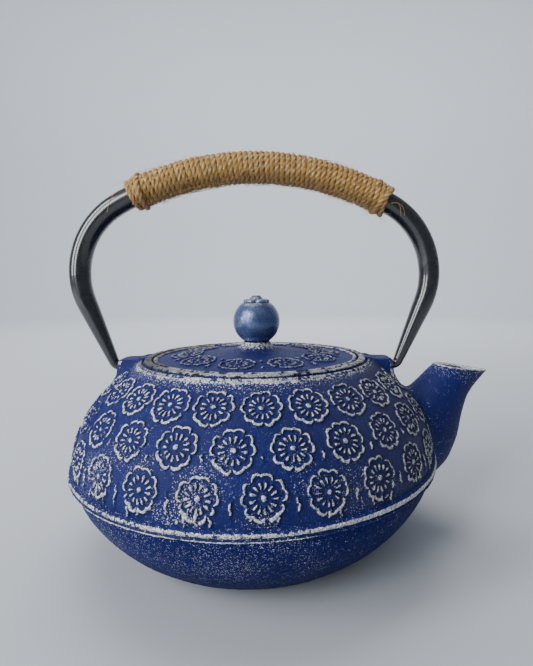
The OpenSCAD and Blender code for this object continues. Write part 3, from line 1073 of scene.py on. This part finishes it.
def make_spout():
    """The spout: outer skin flowing out of the body, rolled lip, and the channel behind it."""
    sides = 132
    outer, normals, margin = flowed_grid(spout_rings(SPOUT_OUT, 170, sides), "spout", flip=True)
    channel = spout_rings(SPOUT_IN, 110, sides, -1)
    lip = spout_lip(outer[-1], channel[0])
    grain = 0.08 * value_noise(outer, 1.0, 71) + 0.10 * value_noise(outer, 8, 72)
    outer = raised(outer, normals, grain)
    hollow = line_distance(HOLLOW, channel.reshape(-1, 3)).reshape(channel.shape[:2])
    margins = np.concatenate([margin, np.full(lip.shape[:2], FAR), hollow + 0.8])
    layers = spout_layers(outer, lip, channel)
    points = np.concatenate([outer, lip, channel])
    add_grid("pot_spout", points, ENAMEL, "pot_body", layers, margins, flip=True)


def make_lug(name, side):
    """A lug with its worn outer edges, flowing into the shoulder; side is 1 or -1 along X."""
    points = LUG_GRID * [side, 1, 1]
    flip = side < 0
    moved, normals, margin = flowed_grid(points, "lug", wrap=False, flip=flip)
    moved = raised(moved, normals, 0.06 * value_noise(points, 1.3, 81) + 0.08 * value_noise(points, 5, 82))
    from_pin = np.hypot(moved[..., 1], moved[..., 2] - PIVOT_Z)
    dimple = np.where(np.abs(normals[..., 0]) > 0.7, smoothstep(3.4, 2.3, from_pin), 0)
    moved = raised(moved, normals, -0.9 * dimple)
    bend = np.linalg.norm(np.gradient(normals, axis=1), axis=-1)
    worn = smoothstep(0.04, 0.14, bend) * (0.52 + 0.35 * value_noise(points, 2.2, 83))
    layers = {"silver": worn * smoothstep(70, 78, points[..., 2]), "speckle": 0.05}
    add_grid(name, moved, ENAMEL, "pot_body", layers, margin, wrap=False, flip=flip)


# ---------------------------------------------------------------- lid, knob and fastening

# The lid's blossoms: how many, their size, their ring's radius and where the first one sits
LID_FLOWERS = 10
LID_FLOWER_SIZE = 7.9
LID_RING = 33.0
LID_HALF_STEP = math.pi / LID_FLOWERS
LID_START = -math.pi / 2 + math.radians(7) + LID_HALF_STEP

# Strokes between them: distance from the axis, length, seed
LID_STROKES = [(37.5, 4.0, 93), (28.0, 3.0, 94)]

LID_UNDER_Z = RIM_Z - 0.8
SKIRT_Z = 79.02
KNOB_CENTRE = SEAT_Z + 9.8
BORE_R = 2.4
WASHER_TURN = math.radians(19)


def lid_relief(points):
    """Relief strength of the lid's ring of blossoms and the strokes between them."""
    theta, r = azimuth(points), radius(points)
    cell, _ = around(theta, LID_START, LID_FLOWERS)
    middle = LID_START + cell * TAU / LID_FLOWERS
    dx = points[..., 0] - LID_RING * np.cos(middle) + 0.15 * value_noise(points, 1.7, 91)
    dy = points[..., 1] - LID_RING * np.sin(middle) + 0.15 * value_noise(points, 1.7, 92)
    out = dx * np.cos(middle) + dy * np.sin(middle)
    across = dx * -np.sin(middle) + dy * np.cos(middle)
    tilt = rng.uniform(-0.3, 0.3, LID_FLOWERS)[cell]
    lines = blossom(across, out, LID_FLOWER_SIZE, tilt, 0.12)
    for centre, length, seed in LID_STROKES:
        row = dash_row(theta, r, r, LID_START + LID_HALF_STEP, LID_FLOWERS, centre, length, seed)
        lines = np.maximum(lines, row)
    return lines


def make_lid_top():
    """The lid's domed top with its blossoms, rising into the seat of the knob."""
    edge = [
        (6.35, SEAT_Z - 0.05), (6.9, SEAT_Z - 1.0), (7.7, SEAT_Z - 1.9), (9.6, SEAT_Z - 2.9),
        (13, RIM_Z + 2.5), (20, RIM_Z + 1.6), (30, RIM_Z + 0.5), (40, RIM_Z - 0.5),
        (LID_R - 2.6, RIM_Z - 1.0),
    ]
    points = spin(smooth_line(edge, 105), even_turn(880))
    lines = lid_relief(points)
    relief = 0.9 * lines + 0.06 * value_noise(points, 1.2, 95) + 0.12 * value_noise(points, 6, 96)
    r = radius(points)
    moved = raised(points, grid_normals(points, flip=True), relief * smoothstep(6.6, 8.5, r))
    neck = 0.62 * smoothstep(13, 7, r) + smoothstep(14, 12, r) * 0.34 * value_noise(points, 0.5, 97)
    dull = smoothstep(12, 16, r) * (0.55 + 0.25 * value_noise(points, 2.5, 90))
    layers = {
        "silver": np.maximum(lines * (0.74 + 0.12 * value_noise(points, 3, 98)), neck),
        "speckle": 0.1 + 0.3 * value_noise(points, 9, 99) + 0.1 * rub_side(azimuth(points)),
        # Painted shade round the foot of the raised lines
        "painted_shade_and_dark_marks": beside(lines, 1.8),
        "dull": np.clip(dull, 0, 1),
    }
    add_grid("lid_top", moved, ENAMEL, "lid", layers, flip=True)


def make_lid_edge():
    """The rubbed bead round the lid's edge."""
    edge = [
        (-2.9, -1.15), (-2.3, -0.9), (-1.9, -0.35), (-1.2, 0), (-0.5, -0.25), (-0.05, -0.9),
        (0, -2.0), (0, -2.9),
    ]
    line = smooth_line(np.add(edge, (LID_R, RIM_Z)), 26)[::-1]
    points = spin(line, even_turn(720))
    r, out = radius(points), radius(points) - LID_R
    rough = value_noise(points, 1.4, 101)
    calm = smoothstep(-0.05, -0.5, out)
    moved = raised(points, grid_normals(points), calm * (0.13 * rough - 0.06))
    side = rub_side(azimuth(points))
    chips = smoothstep(0.1, 0.35, value_noise(points * [1, 1, 0.2], 1.4, 103))
    # Real chips, and painted shade on the bead's outer side that faces the pot's rim
    painted_shade_and_dark_marks = np.maximum(chips * smoothstep(-1.5, -0.9, out), smoothstep(-0.3, -0.1, out))
    wear = 0.68 + 0.14 * side + 0.3 * value_noise(points, 2.4, 102) + 0.15 * rough
    left_end = smoothstep(0.3, 0.9, -points[..., 0] / r)
    dull = 0.35 + 0.4 * left_end + 0.35 * value_noise(points, 3, 104)
    layers = {
        "silver": smoothstep(-1.2, -0.4, points[..., 2] - RIM_Z) * wear * (1 - painted_shade_and_dark_marks),
        "speckle": 0.3 * side,
        "painted_shade_and_dark_marks": painted_shade_and_dark_marks,
        "dull": np.clip(dull, 0, 1),
    }
    add_grid("lid_bead", moved, ENAMEL, "lid", layers)


def make_lid_underside():
    """The underside of the lid, its skirt and the flange that sits on the basket's rim."""
    edge = [
        (2.3, LID_UNDER_Z), (13, LID_UNDER_Z), (26, RIM_Z - 1.6), (37.9, RIM_Z - 3.1),
        (38.5, RIM_Z - 3.5), (38.6, SKIRT_Z + 0.28), (38.9, SKIRT_Z), (41.5, SKIRT_Z),
        (41.8, SKIRT_Z + 0.28), (41.8, LEDGE_Z + 0.4), (42.1, LEDGE_Z + 0.6),
        (LID_R - 0.2, LEDGE_Z + 0.6), (LID_R, LEDGE_Z + 0.8),
    ]
    layers = {"silver": 0.0, "speckle": 0.1}
    add_turned("lid_underside", resample(edge, 90), 300, INNER, "lid", layers, grain=0.02)


def knob_silver(points):
    """How rubbed the knob is: patches, and more towards its top."""
    return 0.3 * value_noise(points, 4, 111) + 0.5 * smoothstep(CAP_Z - 2, CAP_Z, points[..., 2])


def make_knob():
    """The round knob, flat where it sits on the lid and under its washer."""
    low, high = (math.asin((z - KNOB_CENTRE) / KNOB_R) for z in (SEAT_Z, CAP_Z))
    dome = arc(0, KNOB_CENTRE, KNOB_R, low, high, 90)
    foot = np.linspace([BORE_R, SEAT_Z + 0.02], [dome[0, 0] - 0.25, SEAT_Z + 0.02], 8)
    top = np.linspace([dome[-1, 0] - 0.2, CAP_Z - 0.02], [BORE_R, CAP_Z - 0.02], 8)
    profile = np.concatenate([foot, dome, top])
    add_turned("knob", profile, 150, KNOB, "knob_ball", {"silver": knob_silver}, grain=0.05)


def make_blossom_washer():
    """Five rounded lobes round a disc, domed, with a crease between lobes."""
    a = even_turn(150)
    between = 1 - np.abs(np.cos(2.5 * (a - WASHER_TURN))) ** 0.7
    outline = CAP_R + 0.15 - 1.5 * between
    rows = [
        (0.95, 0.0), (1.0, 0.22), (1.02, 0.6), (1.0, 0.95), (0.94, 1.2), (0.84, 1.38),
        (0.7, 1.5), (0.55, 1.58), (0.4, 1.6),
    ]
    share = resample(rows, 26)
    r = share[:, :1] * outline
    crease = bell(between - 1, 0.25) * smoothstep(0.45, 0.8, share[:, :1])
    z = CAP_Z + (CAP_TOP - CAP_Z) * (share[:, 1:] - 0.22 * crease)
    points = np.stack([r * np.cos(a), r * np.sin(a), z], -1)
    add_grid("blossom_washer", points, KNOB, "knob_cap", {"silver": 0.35 + 0.5 * crease})


def make_fastening():
    """The rivet's head over the blossom washer, its spread tail and the washer under the lid."""
    head = [
        (3.3, CAP_TOP + 0.3), (3.2, CAP_TOP + 0.9), (2.7, CAP_TOP + 1.3), (1.9, RIVET_TOP + 0.1),
        (1.0, RIVET_TOP + 0.3), (0.04, RIVET_TOP + 0.35),
    ]
    silver = {"silver": 0.5}
    add_turned("rivet_head", smooth_line(head, 30), 48, KNOB, "knob_rivet", silver, grain=0.02)
    tail = [(2.2, 0.2), (2.2, -0.9), (3.6, -1.02), (3.4, -1.8), (2.0, -2.35), (0.04, -2.5)]
    tail = resample(np.add(tail, (0, LID_UNDER_Z)), 30)
    add_turned("rivet_tail", tail, 48, FASTENER, "knob_rivet", flip=True, grain=0.02)
    ring = [(BORE_R, 0), (5.7, 0), (6.0, -0.2), (6.0, -0.8), (5.7, -1.0), (BORE_R, -1.0)]
    ring = resample(np.add(ring, (0, LID_UNDER_Z)), 40)
    add_turned("lid_washer_plate", ring, 72, FASTENER, "lid_washer", flip=True)


# ---------------------------------------------------------------- handle and twine


def bail_half():
    """Centreline points and radii of the +X half of the bail, from the stub to the top."""
    bend_x = (ARC_R - BEND_R) * math.sin(ARC_HALF)
    bend_z = ARC_Z + (ARC_R - BEND_R) * math.cos(ARC_HALF)
    low_x = bend_x + BEND_R - LOW_R
    leg_x, leg_z = low_x + LOW_R * math.cos(LEG_TURN), bend_z - LOW_R * math.sin(LEG_TURN)
    corner_x = leg_x - (leg_z - PIVOT_Z) * math.tan(LEG_TURN)
    cut_x = corner_x - ELBOW_BEND * math.tan((math.pi / 2 - LEG_TURN) / 2)
    up = math.pi / 2
    elbow = arc(cut_x, PIVOT_Z + ELBOW_BEND, ELBOW_BEND, -up, -LEG_TURN, 10)
    parts = [
        (np.linspace([STUB_END, PIVOT_Z], [cut_x, PIVOT_Z], 12), STUB_R, STUB_R),
        (elbow, STUB_R, ELBOW_R),
        (np.linspace(elbow[-1], [leg_x, leg_z], 50), ELBOW_R, LEG_TOP_R),
        (arc(low_x, bend_z, LOW_R, -LEG_TURN, 0, 20), LEG_TOP_R, TUBE_R - 0.1),
        (arc(bend_x, bend_z, BEND_R, 0, up - ARC_HALF, 50), TUBE_R - 0.1, TUBE_R),
        (arc(0, ARC_Z, ARC_R, up - ARC_HALF, up, 70), TUBE_R, TUBE_R),
    ]
    rows = [np.column_stack([line, np.linspace(lo, hi, len(line))]) for line, lo, hi in parts]
    return np.concatenate(rows[:1] + [row[1:] for row in rows[1:]])


def make_bail():
    """The black bail: one tube, slim at its ends, bent over the pot."""
    half = bail_half()
    line = resample(np.concatenate([half, half[-2::-1] * [-1, 1, 1]]), 520)
    window = 13
    radii = np.convolve(np.pad(line[:, 2], window // 2, mode="edge"), np.ones(window) / window, "valid")
    path = np.stack([line[:, 0], 0 * line[:, 0], line[:, 1]], -1)
    points = sweep(path, radii, 44)
    points = raised(points, grid_normals(points), 0.035 * value_noise(points, 5, 121))
    add_grid("bail_tube", points, BLACK, "handle_bail", flip=True)


# The twine: where its wrap starts and ends on the bail's arc, its turns, its plies and their lay
WRAP_FROM, WRAP_TO = math.radians(90 - 29.2), math.radians(90 + 26.6)
TURNS = 52
TURN_STEPS = 90
TURN_PITCH = (WRAP_TO - WRAP_FROM) / TURNS
TWINE_RHO = TUBE_R + 1.22
PLY_R, PLY_OFF = 0.78, 0.46
LAY = 8.2
PLY_GROOVE = TAU / 6
WRAP_R = 7.4
SHORT_FIBRES, LONG_FIBRES = 1500, 70


def arc_point(alpha, beta, rho):
    """Point at angle beta round the bail's top arc, rho from the tube's centre."""
    radial = np.stack([np.cos(alpha), 0 * alpha, np.sin(alpha)], -1)
    across = np.sin(beta)[..., None] * np.array([0, 1, 0])
    return [0, 0, ARC_Z] + ARC_R * radial + rho[..., None] * (np.cos(beta)[..., None] * radial + across)


def wander(count, spacing):
    """A random value that drifts smoothly over count steps, with a new one every spacing steps."""
    knots = np.arange(0, count + spacing, spacing)
    return np.interp(np.linspace(0, 1, count) * count, knots, rng.normal(0, 1, len(knots)))


def twine_end(u, way, start, turns, slip, lift, sink):
    """A crossing turn at one end of the wrap that ends tucked in against the tube."""
    alpha, beta = start
    away = smoothstep(0, 0.25, u)
    rho = TWINE_RHO + lift * smoothstep(0, 0.2, u) - sink * smoothstep(0.85, 1.0, u)
    return alpha - way * TURN_PITCH * (0.2 + slip * u) * away, beta + way * TAU * turns * u, rho


def wrap_line():
    """The twine's centreline: turn beside turn along the arc, a crossing turn tucked at each end."""
    n = TURNS * TURN_STEPS
    t = np.linspace(0, 1, n)
    beta = TAU * TURNS * t
    margin = 1.25 / ARC_R
    lean = 0.8 * np.exp(-t * 22) - 0.5 * np.exp(-(1 - t) * 26)
    alpha = WRAP_FROM + margin + (WRAP_TO - WRAP_FROM - 2 * margin) * t
    alpha = alpha + TURN_PITCH * (0.6 * lean * np.cos(beta + 0.6) + 0.05 * wander(n, 60))
    rho = TWINE_RHO + 0.05 * wander(n, 45)
    u = np.linspace(0, 1, 151)[1:]
    head = twine_end(u[::-1], -1, (alpha[0], beta[0]), 1.3, 3.0, 0.7, 1.7)
    tail = twine_end(u, 1, (alpha[-1], beta[-1]), 1.15, 2.6, 1.15, 1.6)
    return arc_point(*(np.concatenate(parts) for parts in zip(head, (alpha, beta, rho), tail)))


def strand(line, step, sides):
    """Surface of a three-ply twisted strand along a line, with its fibre layers."""
    path = resample(line, int(arc_lengths(line)[-1] / step))
    along = arc_lengths(path)[:, None]
    u, v = tube_frames(path)
    a = even_turn(sides)
    third = np.mod(a, TAU / 3) - TAU / 6
    around_ply = PLY_OFF * np.cos(third) + np.sqrt(PLY_R**2 - (PLY_OFF * np.sin(third)) ** 2)
    crease = smoothstep(0.40, 1.0, np.abs(third) / PLY_GROOVE)
    angle = a + TAU * along / LAY
    place = np.stack([along / 1.5 + 0 * angle, 0 * angle, a * 2 + 0 * angle], -1)
    reach = around_ply * (1 + 0.09 * value_noise(place, 1.0, 131))
    ring = np.cos(angle)[..., None] * u[:, None] + np.sin(angle)[..., None] * v[:, None]
    layers = {"along": along, "around": a * sides / 4, "crease": crease}
    return path[:, None] + ring * reach[..., None], layers


def under_side(points):
    """1 on the side of the bail's arc that faces the pot, 0 on top."""
    out = points - [0, 0, ARC_Z]
    return smoothstep(-1.0, -6.0, np.hypot(out[..., 0], out[..., 2]) - ARC_R)


def make_twine():
    """The jute twine wound on the bail, pressed a little wider along the bail."""
    points, layers = strand(wrap_line(), 0.52, 18)
    middle = points.mean(1, keepdims=True)
    from_arc = middle - [0, 0, ARC_Z]
    away = unit(np.stack([-from_arc[..., 2], 0 * from_arc[..., 0], from_arc[..., 0]], -1))
    out = points - middle
    points = middle + 0.94 * out + 0.16 * (out * away).sum(-1, keepdims=True) * away
    # The under layer darkens the side facing the pot: painted shade with some dirt
    layers["under"] = under_side(points)
    add_grid("jute_twine", points, JUTE, "jute_wrap", layers, flip=True)


def add_short_fibres(bundle, local):
    """Stray fibres that stand off the twine."""
    s = np.linspace(0, 1, 9)
    for _ in range(SHORT_FIBRES):
        alpha = local.uniform(WRAP_FROM + 0.01, WRAP_TO - 0.01)
        beta = local.normal(math.pi, 1.5)
        length = local.uniform(1.0, 3.5) if local.uniform() < 0.7 else local.uniform(3, 8)
        lift = local.uniform(0.15, 1.3)
        curl = local.normal(0, 0.5, 2)
        a = alpha + s * length / ARC_R * local.normal(0, 1.0) + 0.004 * curl[0] * s**2
        b = beta + s * length / WRAP_R * local.normal(0, 0.8) + curl[1] * s**2 * 0.3
        rho = TUBE_R + 2.1 + lift * length * 0.45 * s * (1 - 0.3 * s)
        bundle.add_tube(arc_point(a, b, rho), np.linspace(0.07, 0.035, 9), 3)


def add_long_fibres(bundle, local):
    """Long fibres that lie over the turns, and three that lie along the tube past the wrap."""
    s = np.linspace(0, 1, 24)
    for _ in range(LONG_FIBRES):
        start = local.uniform(WRAP_FROM + 0.02, WRAP_TO - 0.1)
        a = start + s * local.uniform(6, 18) / ARC_R
        b = -math.pi / 2 + local.normal(-0.3, 0.9)
        b = b + local.normal(0, 0.5) * np.sin(s * 3.0 + local.uniform(0, 3))
        rho = TUBE_R + 2.45 + 0.5 * np.abs(np.sin(4 * s + local.uniform(0, 3)))
        bundle.add_tube(arc_point(a, b, rho), 0.075, 4)
    for alpha, way in ((WRAP_TO, 1), (WRAP_FROM, -1), (WRAP_FROM, -1)):
        a = alpha + way * s * local.uniform(8, 15) / ARC_R
        b = -math.pi / 2 + local.uniform(-0.9, 0.9) + 0.8 * np.sin(s * 3.0 + local.uniform(0, 3))
        bundle.add_tube(arc_point(a, b, np.full(24, TUBE_R + 0.1)), 0.09, 4)


def make_fibres():
    """All the loose fibres of the twine, as one piece."""
    bundle, local = Bundle(), np.random.default_rng(77)
    add_short_fibres(bundle, local)
    add_long_fibres(bundle, local)
    points, faces = bundle.gathered()
    # Every fibre gets a little of the underside's painted shade and dirt
    layers = {"along": points[:, 0], "around": points[:, 1], "crease": 0.0, "under": 0.3}
    add_mesh("jute_fibres", points, faces, JUTE, "jute_wrap", layers)


# ---------------------------------------------------------------- basket

# The wall's wires: radius, how far they weave in and out, distance between rings, uprights
WIRE = 0.23
WIRE_WAVE = 0.16
WIRE_PITCH = 1.45
UPRIGHTS = 180

# The bottom: the plate's holes and its reach. The rim: the lower end of its collar
HOLE_PITCH, HOLE_R, HOLE_SIDES = 3.0, 0.85, 12
PLATE_R = BASKET_R - 4.5
COLLAR_Z = 78.7


def make_basket_rim():
    """The basket's pressed rim: a collar with a flange that hangs on the pot's ledge."""
    collar, flange = COLLAR_Z - LEDGE_Z, MOUTH_R - BASKET_R
    edge = [
        (-0.6, collar), (-0.6, 0), (-0.3, 0.45), (0.4, 0.6), (flange - 0.9, 0.6),
        (flange - 0.62, 0.45), (flange - 0.62, 0.15), (flange - 0.9, 0), (0.5, 0),
        (0.5, collar + 0.2), (0.2, collar - 0.1), (-0.6, collar),
    ]
    profile = resample(np.add(edge, (BASKET_R, LEDGE_Z)), 70)
    add_turned("basket_rim", profile, 240, STEEL, "infuser_rim", flip=True)


def make_basket_wall():
    """Woven wire: uprights and rings that pass over and under each other."""
    low, high = BASKET_Z + 0.5, LEDGE_Z - 0.4
    rows = int((high - low) / WIRE_PITCH)
    wall_r = BASKET_R - 0.3
    bundle = Bundle()
    z = np.linspace(low, high, 2 * rows + 1)
    for k in range(UPRIGHTS):
        a = TAU * k / UPRIGHTS
        r = wall_r + WIRE_WAVE * np.cos(math.pi * (z - low) / WIRE_PITCH + math.pi * k)
        bundle.add_tube(np.stack([r * math.cos(a), r * math.sin(a), z], -1), WIRE, 4)
    a = even_turn(2 * UPRIGHTS)
    around_wire = grid_faces(5, len(a)) % (4 * len(a))
    for k in range(rows + 1):
        r = wall_r - WIRE_WAVE * np.cos(UPRIGHTS * a + math.pi * k)
        sides = [(WIRE, 0), (0, WIRE), (-WIRE, 0), (0, -WIRE)]
        height = low + k * WIRE_PITCH
        ring = [[(r + out) * np.cos(a), (r + out) * np.sin(a), height + up + 0 * a] for out, up in sides]
        bundle.add(np.moveaxis(np.array(ring), 1, -1), around_wire)
    add_mesh("basket_wires", *bundle.gathered(), STEEL, "infuser_mesh")


def make_basket_plate():
    """A plate with round holes: square cells side by side, each round its hole."""
    reach = int(BASKET_R / HOLE_PITCH)
    a = even_turn(HOLE_SIDES) + math.pi / HOLE_SIDES
    ring = np.stack([np.cos(a), np.sin(a)], -1)
    hole = HOLE_R * ring
    square = ring / np.abs(ring).max(1, keepdims=True) * HOLE_PITCH / 2
    top, low = BASKET_Z + 0.55, BASKET_Z + 0.05
    rows = [(square, top), (hole, top), (hole, low), (square, low)]
    bundle = Bundle()
    for i in range(-reach, reach + 1):
        for j in range(-reach, reach + 1):
            if math.hypot(i, j) * HOLE_PITCH > PLATE_R:
                continue
            middle = np.array([i, j]) * HOLE_PITCH
            cell = [np.column_stack([middle + row, np.full(HOLE_SIDES, z)]) for row, z in rows]
            bundle.add(np.array(cell), grid_faces(4, HOLE_SIDES))
    plate = add_mesh("basket_plate", *bundle.gathered(), STEEL, "infuser_base")
    for polygon in plate.data.polygons:
        polygon.use_smooth = False


def make_basket_bottom_ring():
    """The plain ring round the plate, with its edge turned up round the wall."""
    edge = [
        (-6.2, 0.6), (-0.4, 0.6), (-0.02, 0.9), (0, 3.9), (0.25, 4.0), (0.5, 3.8), (0.5, 0.7),
        (0.2, 0.1), (-0.4, 0), (-6.2, 0), (-6.2, 0.6),
    ]
    profile = resample(np.add(edge, (BASKET_R, BASKET_Z)), 70)
    add_turned("basket_bottom_ring", profile, 200, STEEL, "infuser_base", flip=True)


# ---------------------------------------------------------------- stage, light and camera


def make_stage():
    """A pale round floor, just below the foot, that curves up into a wall on every side."""
    reach, curve, top, drop = 2.6, 0.9, 2.4, 0.0003
    bend = arc(reach - curve, curve, curve, -math.pi / 2, 0, 14)
    line = np.concatenate([[[0.001, 0], [0.6, 0]], bend, [[reach, top]]])
    points = spin(line - [0, drop], even_turn(96))
    mesh = bpy.data.meshes.new("stage")
    faces = grid_faces(*points.shape[:2], flip=True)
    mesh.from_pydata(points.reshape(-1, 3).tolist(), [], faces.tolist())
    mesh.polygons.foreach_set("use_smooth", np.ones(len(mesh.polygons), bool))
    mesh.materials.append(stage_material("stage_pale", (0.56, 0.58, 0.61)))
    floor = bpy.data.objects.new("stage_floor", mesh)
    bpy.context.scene.collection.objects.link(floor)


def area_light(name, place, target, size, power, colour):
    """A soft rectangular lamp at a place in metres, turned to a target."""
    light = bpy.data.lights.new(name, "AREA")
    light.shape = "RECTANGLE"
    light.size, light.size_y = size
    light.energy = power
    light.color = colour
    lamp = bpy.data.objects.new(name, light)
    lamp.location = place
    lamp.rotation_euler = (Vector(target) - Vector(place)).to_track_quat("-Z", "Y").to_euler()
    bpy.context.scene.collection.objects.link(lamp)


def make_lights():
    """Two window panes on the left, a soft top light, a wash on the backdrop and the room."""
    for k in (-1, 1):
        pane = (-0.72 + 0.15 * k, -0.58 - 0.187 * k, 0.50)
        area_light(f"window_pane_{k + 1}", pane, (0, 0, 0.07), (0.26, 0.8), 7.5, (0.94, 0.97, 1.0))
    area_light("top_soft", (-0.15, 0.25, 1.1), (0, 0, 0.1), (0.8, 0.8), 6, (1.0, 0.99, 0.97))
    area_light("backdrop_wash", (0.0, 0.75, 1.5), (0.0, 2.4, 0.6), (1.6, 0.5), 50, (0.95, 0.97, 1.0))
    world = bpy.data.worlds.new("soft_room")
    bpy.context.scene.world = world
    world.use_nodes = True
    sky = world.node_tree.nodes["Background"]
    sky.inputs["Color"].default_value = (0.74, 0.80, 0.90, 1)
    sky.inputs["Strength"].default_value = 0.35


def make_camera():
    """The photo's view: close, a little above the lid and looking slightly down."""
    data = bpy.data.cameras.new("camera")
    data.lens = 24.26
    data.sensor_width = 36
    data.shift_x, data.shift_y = -0.042, 0.0054
    data.clip_start, data.clip_end = 0.01, 20
    camera = bpy.data.objects.new("camera", data)
    camera.location = (0.0138, -0.2172, 0.1187)
    camera.rotation_euler = (math.radians(90 - 6.29), math.radians(0.12), math.radians(-1.21))
    bpy.context.scene.collection.objects.link(camera)
    bpy.context.scene.camera = camera


make_camera()
make_lights()
make_stage()
make_shoulder()
make_bowl()
make_belt()
make_rim()
make_foot()
make_interior()
make_spout()
make_lug("lug_spout_side", 1)
make_lug("lug_far_side", -1)
make_lid_top()
make_lid_edge()
make_lid_underside()
make_knob()
make_blossom_washer()
make_fastening()
make_bail()
make_twine()
make_fibres()
make_basket_rim()
make_basket_wall()
make_basket_plate()
make_basket_bottom_ring()
